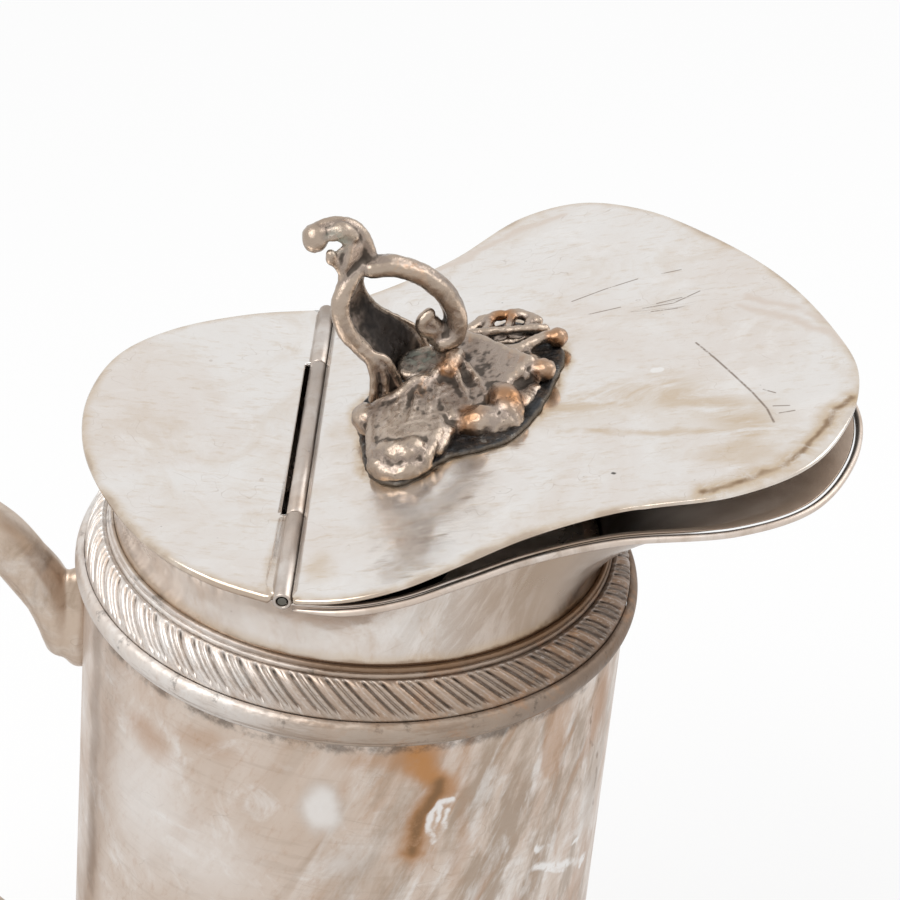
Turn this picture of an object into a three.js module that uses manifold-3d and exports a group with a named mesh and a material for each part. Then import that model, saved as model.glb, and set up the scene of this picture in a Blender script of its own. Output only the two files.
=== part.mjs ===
// Silver-plated thermal carafe: a metal casing round a double-walled glass flask, with a fluted collar,
// a flared neck drawn out into a wide pouring lip, a half lid on a barrel hinge, a cast thumbpiece and
// a cast side handle. Millimetres, +Z up, the middle of the underside at the origin. The handle is at -X
// and the hinge runs along Y. The pouring lip points between +X and +Y.
import * as THREE from 'three';
import { mergeVertices } from 'three/addons/utils/BufferGeometryUtils.js';
import Module from 'manifold-3d';

const wasm = await Module();
wasm.setup();

// Clearances
const gap = 0.3;                   // left between neighbouring pieces
const facetAllowance = 0.1;        // extra where one faceted ring sits inside another
const cutLength = 400;             // tools that cut right through a piece are this long

// Casing
const bodyRadius = 63.6;           // outside, just under the collar
const bodyTaper = 2.8;             // the casing's radius is this much larger at the foot
const bodyWall = 1;
const collarHeight = 190;          // underside to the lower edge of the collar
const shoulderTurn = 2.2;          // the casing starts to turn in this far below the fluted band
const shoulderFlange = 6;          // flat ring at the top of the casing that the neck stands on

// Foot ring and base cover
const coverThickness = 2.5;
const coverInset = 4.4;            // the cover's edge lies this far inside the casing's foot
const footFlangeThickness = 2.2;
const footFlangeWidth = 8;         // how far the screw flange reaches in over the cover
const footSkirtHeight = 7;         // how far the foot ring climbs the casing above its ledge
const footSpread = 3.6;            // how far the foot ring stands out past the casing
const footRollHeight = 5.2;        // round moulding that the carafe rests on
const footRollDepth = 1.8;
const footReedHeight = 3.4;        // slimmer moulding above it
const footReedDepth = 0.7;
const footRimThickness = 0.8;
const screwCount = 3;
const screwRadius = 1.5;
const screwHeadRadius = 3;
const screwHeadHeight = 1.1;
const screwHeadInset = 0.2;        // heads sit this far above the resting surface
const screwLength = 6;
const screwSlotWidth = 0.8;
const screwSlotDepth = 0.5;

// Collar
const beadHeight = 6.2;
const beadDepth = 2.1;             // how far the round moulding stands out past the casing
const bandHeight = 8.6;
const bandThickness = 1.2;
const fluteCount = 95;
const fluteRelief = 0.7;
const fluteSlant = 6;              // how far a flute runs round the collar from top to bottom
const fluteBend = 0.12;            // share of the slant that bows the flute into an S
const fluteEndShare = 0.4;         // depth of a flute at its ends, as a share of the relief
const bandSweep = 82;              // degrees of the shoulder's quarter round that the band covers
const neckReedHeights = [1.6, 1.3];
const neckReedDepth = 0.6;
const neckBeadBase = 0.8;          // metal behind the two reeds

// Neck and pouring lip
const neckInset = 6.3;             // the neck's outside lies this far inside the casing's
const neckHeight = 20.1;
const neckWall = 1.2;
const rimSlope = 9.3;              // degrees that the rim climbs from the hinge to the lip
const rimInset = 1.3;              // the neck's edge lies this far inside the lid's outline
const rimWireRadius = 0.85;
const rimWireStart = 3.5;          // the wire starts this far in front of the hinge line

// Lid, hinge and rear plate
const hingeX = -14;
const hingeRise = 0.7;             // hinge axis above the rear rim
const barrelRadius = 2;
const barrelBore = 1.25;
const barrelEndInset = 0.4;        // barrel ends lie this far inside the outline
const middleKnuckleFrom = -30;
const middleKnuckleTo = 34;
const hingeSlot = 0.8;             // slot behind the middle knuckle
const plateThickness = 1.2;
const rearSkirtHeight = 2.4;
const rearSkirtThickness = 1;
const lidRestAngle = 5;            // degrees that the lid stands open at rest

// Front of the lid: x forward from the hinge axis along the lid, y along the hinge
const lidOutline = [
  [0, -61.8], [13, -64], [25, -61.8], [38, -55.3], [52, -48], [70, -42.7], [96, -41], [112, -33.3],
  [122, -17], [125.7, 2], [122, 22], [112, 49.4], [97, 74], [80, 93.5], [64, 101.5], [49, 97.5],
  [31, 79], [15, 68.5], [0, 61.8],
];
// Rear plate, in the same way, from the far end of the hinge round to the near end
const rearOutline = [
  [0, 61.8], [-19, 55.8], [-36.5, 45.2], [-47.5, 31.5], [-51.8, 12], [-50, -8], [-43, -26.5],
  [-31, -44.5], [-16, -56], [0, -61.8],
];

// Thumbpiece: places on top of the lid, x forward from the hinge axis, y along the hinge
const solderThickness = 0.8;
const solderOutline = [
  [13, -6], [16, -19], [23, -24], [34, -15.5], [46, -12], [53, -3], [57.5, 11], [60, 25],
  [55, 34], [48, 42], [39, 39], [30, 28], [18, 21], [11.5, 12],
];
// Each lobe: centre x, centre y, half length, half width, height, turn in degrees
const leafLobes = [
  [21, -5, 14, 7, 6, 100], [22.5, -17.5, 5.5, 5, 4.5, 0], [16.5, -2.5, 3.2, 3.4, 5, 0],
  [37, 2, 12, 8, 6.5, -35], [41.5, -8.5, 5, 3.6, 5.5, 20], [47, -1.5, 4.6, 4.8, 6, 0],
  [45, 14, 11, 4, 6.5, -3], [54.3, 13.5, 3.2, 3, 6.5, 0], [46, 23, 11, 4, 5.5, 22],
  [58, 27, 2.9, 3, 5.5, 0], [45, 36.5, 9, 4.5, 4.5, 12], [33, 14, 8, 8, 10, 0], [34, 8, 20, 14, 3, 40],
  [40, 27, 8, 7, 3, 60],
];
const scrollFoot = [15, 12];
const scrollTurn = 20;             // degrees that the scroll's plane is turned from the x direction
// Scroll paths: x forward in the scroll's own plane, z above the lid
const strapPath = [[2.2, 1.6], [2.4, 8], [-1, 15.8], [-3, 23], [-1.2, 30], [3.2, 36]];
const ringPath = [[2.4, 32.6], [7.2, 34.6], [13.4, 32.2], [20, 26], [24, 18.6], [22.4, 12.6], [17.6, 14.8]];
const crestPath = [[3.4, 34], [4.4, 40], [4.6, 44.2], [1.6, 46.8], [-2.4, 46.6], [-5, 45]];
const strapHalfWidth = 6;
const strapHalfThickness = 1.5;
const ringHalfThickness = 2.5;
const crestHalfWidth = 3.6;
const crestHalfThickness = 1.9;
const scrollBallRadius = 3.3;

// Handle: out from the casing's side, and down from the lower edge of the collar
const handlePath = [
  [5.4, 21], [12.4, 10], [22.4, -2], [36.4, -8], [50.4, -2], [59.4, 14], [62.4, 38],
  [58.4, 66], [48.4, 92], [33.4, 114], [18.4, 128], [5.4, 137],
];
const handleHalfThickness = 7.2;   // in the middle; both ends are slimmer
const handleHalfWidth = 6.2;
const handleEndShare = 0.75;
const handlePathSteps = 26;
const handleSides = 10;
const handleSwell = 0.4;           // the smaller, the sooner the grip reaches its full section
const upperLug = { out: 1.9, down: 20.2, depth: 9.6, width: 9.4, height: 13.2 };
const lowerLug = { out: 2.4, down: 138, depth: 9, width: 9, height: 11 };

// Flask, its seat and the pouring funnel
const flaskRadius = 54;
const flaskWall = 1.8;
const flaskSpace = 4.2;            // evacuated space between the two walls
const flaskMouthRadius = 24;       // outside of the inner wall's mouth
const flaskCorner = 18;            // rounding at the bottom of the flask
const flaskShoulderDrop = 32;      // mouth to where the shoulder starts
const flaskNeckHeight = 6.4;
const flaskTipLength = 8;
const flaskTipRadius = 3;
const cushionHeight = 16;
const cushionInnerRadius = 12;
const cushionOuterRadius = 35;
const funnelDepth = 7;
const funnelWall = 1;
const funnelSeat = 3;              // flat ring at the funnel's outer edge
const gasketThickness = 2.4;
const gasketWidth = 5;

// Facets
const roundSegments = 48;
const innerSegments = 24;
const neckRows = 5;
const outlineFrontSteps = 46;
const outlineRearSteps = 18;
const bandRows = 3;
const columnsPerFlute = 2;
const solderSteps = 36;
const scrollSides = 8;
const strapSteps = 10;
const ringSteps = 14;
const crestSteps = 9;

// Finishes
const silver = { color: 0xd9d3ca, roughness: 0.35, metalness: 1 };
const stainedSilver = { color: 0xc9b9a8, roughness: 0.38, metalness: 1 };
const darkCasting = { color: 0x8d7b68, roughness: 0.45, metalness: 1 };
const solder = { color: 0x3b3d40, roughness: 0.6, metalness: 0.8 };
const steel = { color: 0x9a9a98, roughness: 0.4, metalness: 1 };
const glass = { color: 0xcfd6d8, roughness: 0.08, metalness: 0.6 };
const rubber = { color: 0x2b2a28, roughness: 0.85, metalness: 0 };

// Heights and radii that follow from the sizes above
const bodyFootRadius = bodyRadius + bodyTaper;
const coverRadius = bodyFootRadius - coverInset;
const neckRadius = bodyRadius - neckInset;
const footLedge = coverThickness + gap + footFlangeThickness;
const neckBeadDepth = neckBeadBase + neckReedDepth;
const neckBeadHeight = neckReedHeights[0] + neckReedHeights[1];
const bandZ = collarHeight + beadHeight;
const bandTopRadius = neckRadius + neckBeadDepth + 2 * gap;
const bandRun = bodyRadius + gap - bandTopRadius;
const shellTop = bandZ + bandHeight - bandThickness - gap;
const neckZ = shellTop + gap;
const rimZ = neckZ + neckHeight;
const hingeZ = rimZ + hingeRise;
const plateBottom = rimZ + gap - hingeZ;
const plateTop = plateBottom + plateThickness;
const lidSlope = rimSlope + lidRestAngle;
const funnelRingZ = neckZ - funnelDepth;
const gasketZ = funnelRingZ - gap - gasketThickness;
const flaskTop = gasketZ - gap;
const flaskBottom = coverThickness + gap + cushionHeight + gap;
const radians = THREE.MathUtils.degToRad;

const carafe = new THREE.Group();

// Returns a closed, indexed geometry with shared corners, no empty triangles and outward faces.
function closed(geometry) {
  const bare = geometry.index ? geometry.toNonIndexed() : geometry.clone();
  bare.deleteAttribute('normal');
  bare.deleteAttribute('uv');
  const merged = mergeVertices(bare, 1e-3);
  const corners = merged.attributes.position;
  const kept = [];
  let volume = 0;
  const a = new THREE.Vector3();
  const b = new THREE.Vector3();
  const c = new THREE.Vector3();
  for (let i = 0; i < merged.index.count; i += 3) {
    const triangle = [merged.index.getX(i), merged.index.getX(i + 1), merged.index.getX(i + 2)];
    if (new Set(triangle).size < 3) continue;
    kept.push(triangle);
    a.fromBufferAttribute(corners, triangle[0]);
    b.fromBufferAttribute(corners, triangle[1]);
    c.fromBufferAttribute(corners, triangle[2]);
    volume += a.dot(b.cross(c));
  }
  const ordered = volume < 0 ? kept.map(([p, q, r]) => [p, r, q]) : kept;
  merged.setIndex(ordered.flat());
  return merged;
}

function toSolid(geometry) {
  const body = closed(geometry);
  const mesh = new wasm.Mesh({
    numProp: 3,
    vertProperties: new Float32Array(body.attributes.position.array),
    triVerts: new Uint32Array(body.index.array),
  });
  return new wasm.Manifold(mesh);
}

function toGeometry(solid) {
  const mesh = solid.getMesh();
  const geometry = new THREE.BufferGeometry();
  geometry.setAttribute('position', new THREE.BufferAttribute(new Float32Array(mesh.vertProperties), 3));
  geometry.setIndex(Array.from(mesh.triVerts));
  return geometry;
}

function cut(geometry, ...tools) {
  const start = toSolid(geometry);
  return toGeometry(tools.reduce((solid, tool) => solid.subtract(toSolid(tool)), start));
}

// Keeps the largest body of a cut piece and drops the crumbs that the cut left.
function largest(geometry) {
  const bodies = toSolid(geometry).decompose();
  return toGeometry(bodies.reduce((best, body) => (body.volume() > best.volume() ? body : best)));
}

function joined(...geometries) {
  return toGeometry(geometries.map(toSolid).reduce((sum, solid) => sum.add(solid)));
}

// Adds one named piece to the carafe or to a group inside it.
function piece(name, geometry, finish, parent = carafe) {
  const body = closed(geometry);
  body.computeVertexNormals();
  const mesh = new THREE.Mesh(body, new THREE.MeshStandardMaterial(finish));
  mesh.name = name;
  parent.add(mesh);
  return mesh;
}

// A profile of [radius, height] pairs turned round the Z axis. A ring's profile closes on itself.
function turned(profile, segments = roundSegments) {
  const points = profile.map(([r, z]) => new THREE.Vector2(r, z));
  return new THREE.LatheGeometry(points, segments).rotateX(Math.PI / 2);
}

function turnedRing(profile, segments = roundSegments) {
  return turned([...profile, profile[0]], segments);
}

// A plain flat ring.
function washer(innerRadius, outerRadius, bottom, top) {
  const profile = [[innerRadius, bottom], [outerRadius, bottom], [outerRadius, top], [innerRadius, top]];
  return turnedRing(profile, innerSegments);
}

// The outside of a round moulding, from its lower edge to its upper edge, as [radius, height] pairs.
function roll(radius, fromZ, toZ, depth, steps) {
  return Array.from({ length: steps + 1 }, (_, i) => {
    const angle = radians(-90 + 180 * i / steps);
    return [radius + depth * Math.cos(angle), (fromZ + toZ) / 2 + (toZ - fromZ) / 2 * Math.sin(angle)];
  });
}

function cylinderAlongY(radius, fromY, toY, segments = 20) {
  const rod = new THREE.CylinderGeometry(radius, radius, toY - fromY, segments);
  return rod.translate(0, (fromY + toY) / 2, 0);
}

function tubeAlongY(outer, inner, fromY, toY, segments = 20) {
  const profile = [[inner, fromY], [outer, fromY], [outer, toY], [inner, toY], [inner, fromY]];
  return new THREE.LatheGeometry(profile.map(([r, y]) => new THREE.Vector2(r, y)), segments);
}

// Joins rings of equal length into one closed surface. With looped set, the last ring meets the first;
// otherwise each end is closed by a fan.
function lofted(rings, looped) {
  const ringSize = rings[0].length;
  const points = rings.flat();
  const triangles = [];
  const lastRing = looped ? rings.length : rings.length - 1;
  for (let i = 0; i < lastRing; i += 1) {
    const here = i * ringSize;
    const next = ((i + 1) % rings.length) * ringSize;
    for (let j = 0; j < ringSize; j += 1) {
      const k = (j + 1) % ringSize;
      triangles.push(here + j, here + k, next + k, here + j, next + k, next + j);
    }
  }
  if (!looped) {
    const finish = (rings.length - 1) * ringSize;
    for (let j = 1; j < ringSize - 1; j += 1) {
      triangles.push(0, j + 1, j, finish, finish + j, finish + j + 1);
    }
  }
  const geometry = new THREE.BufferGeometry().setFromPoints(points);
  geometry.setIndex(triangles);
  return geometry;
}

// A smooth curve through a list of points.
function smooth(points, isClosed = false) {
  return new THREE.CatmullRomCurve3(points, isClosed, 'centripetal');
}

// Part of an ellipse's quarter, from its widest point up to its top, as [radius, height] pairs.
function shoulderCurve(topRadius, run, baseZ, height, steps, sweep = 90) {
  return Array.from({ length: steps + 1 }, (_, i) => {
    const angle = radians(sweep * i / steps);
    return [topRadius + run * Math.cos(angle), baseZ + height * Math.sin(angle)];
  });
}

// A solid swept along a path of [x, z] pairs in the XZ plane, with an oval section whose half
// thickness lies in that plane and whose half width lies along Y.
function sweptInPlane(path, steps, sides, halfThickness, halfWidth) {
  const curve = smooth(path.map(([x, z]) => new THREE.Vector3(x, 0, z)));
  const rings = [];
  for (let i = 0; i <= steps; i += 1) {
    const t = i / steps;
    const centre = curve.getPointAt(t);
    const tangent = curve.getTangentAt(t);
    const across = new THREE.Vector3(-tangent.z, 0, tangent.x);
    const ring = [];
    for (let j = 0; j < sides; j += 1) {
      const angle = 2 * Math.PI * (j + 0.5) / sides;
      const point = centre.clone().addScaledVector(across, halfThickness(t) * Math.cos(angle));
      point.y = halfWidth(t) * Math.sin(angle);
      ring.push(point);
    }
    rings.push(ring);
  }
  return lofted(rings, false);
}

function ellipsoid(radiusX, radiusY, radiusZ, around = 16, over = 10) {
  return new THREE.SphereGeometry(1, around, over).rotateX(Math.PI / 2).scale(radiusX, radiusY, radiusZ);
}

function smoothOutline(pairs, steps) {
  return smooth(pairs.map(([x, y]) => new THREE.Vector3(x, y, 0))).getSpacedPoints(steps);
}

// A flat plate of one thickness, with its underside at z = 0.
function flatPlate(outline, thickness) {
  return new THREE.ExtrudeGeometry(new THREE.Shape(outline), { depth: thickness, bevelEnabled: false });
}

// Closed outline of the lid and rear plate, seen square to the lid. x is measured from the hinge axis.
function fullOutline() {
  const front = smoothOutline(lidOutline, outlineFrontSteps);
  const rear = smoothOutline(rearOutline, outlineRearSteps).slice(1, -1);
  return [...front, ...rear].map((point) => new THREE.Vector2(point.x, point.y));
}

// Moves every point of a closed outline inwards by a distance.
function insetOutline(points, distance) {
  return points.map((point, i) => {
    const before = points[(i + points.length - 1) % points.length];
    const after = points[(i + 1) % points.length];
    const along = after.clone().sub(before).normalize();
    return new THREE.Vector2(point.x - along.y * distance, point.y + along.x * distance);
  });
}

// Places an outline point on the rim: level behind the hinge and climbing in front of it.
function onRim(point, lowering = 0) {
  const slope = radians(point.x > 0 ? rimSlope : 0);
  const x = hingeX + point.x * Math.cos(slope);
  return new THREE.Vector3(x, point.y, rimZ + point.x * Math.sin(slope) - lowering);
}

// Foot, base and casing

function footRing() {
  const seat = bodyFootRadius + gap;
  const mouldingRadius = bodyFootRadius + footSpread - footRollDepth;
  const innerEdge = coverRadius - footFlangeWidth;
  const top = footLedge + footSkirtHeight;
  const profile = [
    [innerEdge, coverThickness + gap], [coverRadius + gap, coverThickness + gap], [coverRadius + gap, 0],
    ...roll(mouldingRadius, 0, footRollHeight, footRollDepth, 4),
    ...roll(mouldingRadius, footRollHeight, footRollHeight + footReedHeight, footReedDepth, 3),
    [seat + footRimThickness, top], [seat, top], [seat, footLedge], [innerEdge, footLedge],
  ];
  const holes = screwPlaces().map(([x, y]) => {
    const hole = new THREE.CylinderGeometry(screwRadius + gap, screwRadius + gap, 3 * footLedge, 16);
    return hole.rotateX(Math.PI / 2).translate(x, y, footLedge);
  });
  return cut(turnedRing(profile), ...holes);
}

function screwPlaces() {
  const radius = coverRadius - footFlangeWidth / 2;
  return Array.from({ length: screwCount }, (_, i) => {
    const angle = 2 * Math.PI * i / screwCount;
    return [radius * Math.cos(angle), radius * Math.sin(angle)];
  });
}

function baseCover() {
  const disc = turned([[0, 0], [coverRadius, 0], [coverRadius, coverThickness], [0, coverThickness]]);
  const pocketTop = screwHeadInset + screwHeadHeight + gap;
  const tools = screwPlaces().flatMap(([x, y]) => {
    const pocketRadius = screwHeadRadius + gap;
    const holeRadius = screwRadius + gap;
    const pocket = new THREE.CylinderGeometry(pocketRadius, pocketRadius, 2 * pocketTop, 20);
    const hole = new THREE.CylinderGeometry(holeRadius, holeRadius, 3 * coverThickness, 16);
    return [pocket, hole].map((tool) => tool.rotateX(Math.PI / 2).translate(x, y, 0));
  });
  return cut(disc, ...tools);
}

function baseScrew() {
  const headTop = screwHeadInset + screwHeadHeight;
  const profile = [
    [0, screwHeadInset], [screwHeadRadius, screwHeadInset], [screwHeadRadius, headTop],
    [screwRadius, headTop], [screwRadius, screwHeadInset + screwLength], [0, screwHeadInset + screwLength],
  ];
  const screw = turned(profile, 16);
  const slot = new THREE.BoxGeometry(3 * screwHeadRadius, screwSlotWidth, 2 * screwSlotDepth);
  return cut(screw, slot.translate(0, 0, screwHeadInset));
}

function bodyShell() {
  const run = bandRun - bandThickness - gap;
  const height = bandHeight - bandThickness - gap;
  const flangeEdge = bandTopRadius - shoulderFlange;
  const outer = shoulderCurve(bandTopRadius, run, bandZ, height, bandRows);
  const inner = shoulderCurve(bandTopRadius, run - bodyWall, bandZ, height - bodyWall, bandRows).reverse();
  const turnZ = bandZ - shoulderTurn;
  return turnedRing([
    [bodyFootRadius, footLedge + gap], [bodyRadius, turnZ], ...outer,
    [flangeEdge, shellTop], [flangeEdge, shellTop - bodyWall], ...inner,
    [bodyRadius - bodyWall, turnZ - bodyWall], [bodyFootRadius - bodyWall, footLedge + gap],
  ]);
}

// Collar

function collarBead() {
  const innerRadius = bodyRadius + gap + facetAllowance;
  return turnedRing(roll(innerRadius, collarHeight + gap / 2, bandZ - gap / 2, beadDepth, 6));
}

// Slanting flutes round the shoulder. Each column of the surface follows one slanting line.
function gadroonBand() {
  const bottom = bandZ + gap / 2;
  const innerRun = bandRun - bandThickness;
  const innerHeight = bandHeight - bandThickness;
  const outer = shoulderCurve(bandTopRadius, bandRun, bottom, bandHeight - gap, bandRows, bandSweep);
  const inner = shoulderCurve(bandTopRadius, innerRun, bottom, innerHeight, bandRows, bandSweep);
  const columns = [];
  const count = fluteCount * columnsPerFlute;
  for (let i = 0; i < count; i += 1) {
    const swell = Math.sin(Math.PI * (i % columnsPerFlute) / columnsPerFlute);
    const base = 2 * Math.PI * i / count;
    const place = ([radius, z], share) => {
      const bow = fluteBend * Math.sin(2 * Math.PI * share);
      const angle = base + (fluteSlant / bodyRadius) * (1 - share - bow);
      return new THREE.Vector3(radius * Math.cos(angle), radius * Math.sin(angle), z);
    };
    const outside = outer.map(([radius, z], row) => {
      const share = row / bandRows;
      const depthShare = row === 0 || row === bandRows ? fluteEndShare : 1;
      const relief = fluteRelief * (swell - 1) * depthShare;
      return place([radius + relief, z + relief * share], share);
    });
    const inside = inner.map((point, row) => place(point, row / bandRows)).reverse();
    columns.push([...outside, ...inside]);
  }
  return lofted(columns, true);
}

// Two thin beads side by side, over the joint between the collar and the neck.
function neckBead() {
  const innerRadius = neckRadius + gap;
  const reedRadius = innerRadius + neckBeadBase;
  const middle = neckZ + neckReedHeights[0];
  const top = neckZ + neckBeadHeight;
  return turnedRing([
    [innerRadius, neckZ],
    ...roll(reedRadius, neckZ, middle, neckReedDepth, 3),
    ...roll(reedRadius, middle, top, neckReedDepth, 3),
    [innerRadius, top],
  ]);
}

// Neck

// One radial section of the neck: out along the outer face and back along the inner face. The neck is
// straight behind the beads and flares above them.
function neckColumn(rimPoint) {
  const reach = Math.hypot(rimPoint.x, rimPoint.y);
  const flareZ = neckZ + neckBeadHeight;
  const height = rimPoint.z - flareZ;
  const outward = new THREE.Vector3(rimPoint.x / reach, rimPoint.y / reach, 0);
  const at = (radius, z) => outward.clone().multiplyScalar(radius).setZ(z);
  const outer = [at(neckRadius, neckZ)];
  const inner = [at(neckRadius - neckWall, neckZ)];
  for (let row = 0; row <= neckRows; row += 1) {
    const share = row / neckRows;
    const radius = neckRadius + (reach - neckRadius) * share ** 2;
    const steepness = 2 * (reach - neckRadius) * share;
    const slant = Math.hypot(steepness, height);
    const z = flareZ + height * share;
    outer.push(at(radius, z));
    inner.push(at(radius - neckWall * height / slant, z + neckWall * steepness / slant));
  }
  return [...outer, ...inner.reverse()];
}

// The room above the rim: level behind the hinge and climbing in front of it.
function roomAboveRim() {
  const block = new THREE.BoxGeometry(cutLength, cutLength, cutLength);
  const half = cutLength / 2;
  const rear = block.clone().translate(-half, 0, half);
  const front = block.clone().translate(half, 0, half).rotateY(-radians(rimSlope));
  return [rear, front].map((room) => room.translate(hingeX, 0, rimZ));
}

function neckSpout() {
  const rim = insetOutline(fullOutline(), rimInset).map((point) => onRim(point));
  const notch = cylinderAlongY(barrelRadius + gap, -cutLength / 2, cutLength / 2);
  return cut(lofted(rim.map(neckColumn), true), ...roomAboveRim(), notch.translate(hingeX, 0, hingeZ));
}

// Round wire along the outside of the rim, from one end of the hinge round the lip to the other.
function rimWire() {
  const inset = rimInset - gap - rimWireRadius;
  const front = insetOutline(fullOutline(), inset).filter((point) => point.x > rimWireStart);
  const path = smooth(front.map((point) => onRim(point, rimWireRadius)));
  const section = new THREE.Shape().absarc(0, 0, rimWireRadius, 0, 2 * Math.PI);
  const options = { extrudePath: path, steps: outlineFrontSteps, bevelEnabled: false, curveSegments: 4 };
  return new THREE.ExtrudeGeometry(section, options);
}

// Rear plate: a level half disc with its edge folded down over the neck's rim.
function rearPlate() {
  const outline = fullOutline();
  const block = flatPlate(outline, rearSkirtHeight).translate(0, 0, plateTop - rearSkirtHeight);
  const hollow = flatPlate(insetOutline(outline, rearSkirtThickness), rearSkirtHeight);
  const front = new THREE.BoxGeometry(cutLength, cutLength, cutLength);
  const edge = -(barrelRadius + gap);
  const slot = new THREE.BoxGeometry(2 * hingeSlot, middleKnuckleTo - middleKnuckleFrom, cutLength);
  const plate = cut(
    block,
    hollow.translate(0, 0, plateBottom - rearSkirtHeight),
    front.translate(edge + cutLength / 2, 0, 0),
    slot.translate(edge, (middleKnuckleFrom + middleKnuckleTo) / 2, 0),
  );
  return plate.translate(hingeX, 0, hingeZ);
}

// Hinge

function hingeHalfLength() {
  return Math.abs(lidOutline[0][1]) - barrelEndInset;
}

function fixedKnuckle(fromY, toY) {
  return tubeAlongY(barrelRadius, barrelBore, fromY, toY).translate(hingeX, 0, hingeZ);
}

function hingePin() {
  const half = hingeHalfLength() - gap;
  return cylinderAlongY(barrelBore - gap, -half, half).translate(hingeX, 0, hingeZ);
}

// Lid, in the lid's own frame: the hinge axis is its Y axis and the lid lies along its X axis

function lidPlate() {
  const plate = flatPlate(fullOutline().filter((point) => point.x >= 0), plateThickness);
  const barrelRoom = new THREE.BoxGeometry(2 * (barrelRadius + gap), cutLength, 4 * barrelRadius);
  return cut(plate.translate(0, 0, plateBottom), barrelRoom);
}

function thumbpieceSolder() {
  const corners = solderOutline.map(([x, y]) => new THREE.Vector3(x, y, 0));
  const edge = smooth(corners, true).getSpacedPoints(solderSteps).slice(0, -1);
  const outline = edge.map((point) => new THREE.Vector2(point.x, point.y));
  return flatPlate(outline, solderThickness).translate(0, 0, plateTop + gap);
}

// The scroll that the thumb presses: a strap that rises from the leaves, a ring and a curled crest.
function scrollSolid(extra) {
  const limb = (path, steps, halfThickness, halfWidth) => {
    return sweptInPlane(path, steps, scrollSides, () => halfThickness + extra, (t) => halfWidth(t) + extra);
  };
  const strapWidth = (t) => THREE.MathUtils.lerp(strapHalfWidth, crestHalfWidth, t);
  const strap = limb(strapPath, strapSteps, strapHalfThickness, strapWidth);
  const ring = limb(ringPath, ringSteps, ringHalfThickness, () => ringHalfThickness);
  const crest = limb(crestPath, crestSteps, crestHalfThickness, () => crestHalfWidth);
  const ball = ([x, z]) => {
    const radius = scrollBallRadius + extra;
    return ellipsoid(radius, radius, radius, 10, 8).translate(x, 0, z);
  };
  const all = joined(strap, ring, crest, ball(ringPath.at(-1)), ball(crestPath.at(-1)));
  return all.rotateZ(radians(scrollTurn)).translate(scrollFoot[0], scrollFoot[1], plateTop + gap);
}

function leafFloor() {
  const floor = new THREE.BoxGeometry(cutLength, cutLength, cutLength);
  return floor.translate(0, 0, plateTop + 2 * gap + solderThickness - cutLength / 2);
}

function thumbpieceLeaves() {
  const lobes = leafLobes.map(([x, y, length, width, height, turn]) => {
    const lobe = ellipsoid(length, width, height, 9, 6).rotateZ(radians(turn));
    return lobe.translate(x, y, plateTop + 2 * gap + solderThickness);
  });
  return largest(cut(joined(...lobes), leafFloor(), scrollSolid(gap)));
}

function thumbpieceScroll() {
  return cut(scrollSolid(0), leafFloor());
}

// Handle

function lug({ out, down, depth, width, height }, extra) {
  const swollen = ellipsoid(depth + extra, width + extra, height + extra);
  return swollen.translate(-bodyRadius - out, 0, collarHeight - down);
}

function casingSpace() {
  const low = bodyFootRadius + gap;
  const high = bodyRadius + gap;
  return turned([[0, footLedge], [low, footLedge], [high, collarHeight], [0, collarHeight]]);
}

function handleGrip() {
  const fullness = (t) => handleEndShare + (1 - handleEndShare) * Math.sin(Math.PI * t) ** handleSwell;
  const halfThickness = (t) => handleHalfThickness * fullness(t);
  const halfWidth = (t) => handleHalfWidth * fullness(t);
  const path = handlePath.map(([out, down]) => [-bodyRadius - out, collarHeight - down]);
  const grip = sweptInPlane(path, handlePathSteps, handleSides, halfThickness, halfWidth);
  return largest(cut(grip, lug(upperLug, gap), lug(lowerLug, gap), casingSpace()));
}

// Flask, its seat and the pouring funnel

// A bottle's outline from the axis at the bottom to the edge of its mouth.
function bottleOutline(radius, bottom, corner, mouthRadius, mouthZ) {
  const outline = [[0, bottom]];
  for (const angle of [-90, -45, 0].map(radians)) {
    outline.push([radius - corner + corner * Math.cos(angle), bottom + corner + corner * Math.sin(angle)]);
  }
  const shoulderZ = mouthZ - flaskShoulderDrop;
  const shoulderHeight = flaskShoulderDrop - flaskNeckHeight;
  for (const share of [0, 0.25, 0.5, 0.75, 1]) {
    const ease = THREE.MathUtils.smoothstep(share, 0, 1);
    outline.push([radius + (mouthRadius - radius) * ease, shoulderZ + shoulderHeight * share]);
  }
  outline.push([mouthRadius, mouthZ]);
  return outline;
}

// The inside of the same bottle, one wall further in.
function insideOutline(radius, bottom, corner, mouthRadius, mouthZ) {
  const inside = [radius - flaskWall, bottom + flaskWall, corner - flaskWall, mouthRadius - flaskWall];
  return bottleOutline(...inside, mouthZ);
}

function lipWidth() {
  return flaskSpace + flaskWall;
}

// The inner wall carries the lip, which lies over the top of the outer wall.
function flaskInnerWall() {
  const radius = flaskRadius - flaskWall - flaskSpace;
  const bottom = flaskBottom + flaskWall + flaskSpace;
  const corner = flaskCorner - flaskSpace;
  const lipZ = flaskTop - flaskWall;
  const outer = bottleOutline(radius, bottom, corner, flaskMouthRadius, lipZ);
  const inner = insideOutline(radius, bottom, corner, flaskMouthRadius, flaskTop);
  const lip = [[flaskMouthRadius + lipWidth(), lipZ], [flaskMouthRadius + lipWidth(), flaskTop]];
  return turned([...outer, ...lip, ...inner.reverse()], innerSegments);
}

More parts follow.
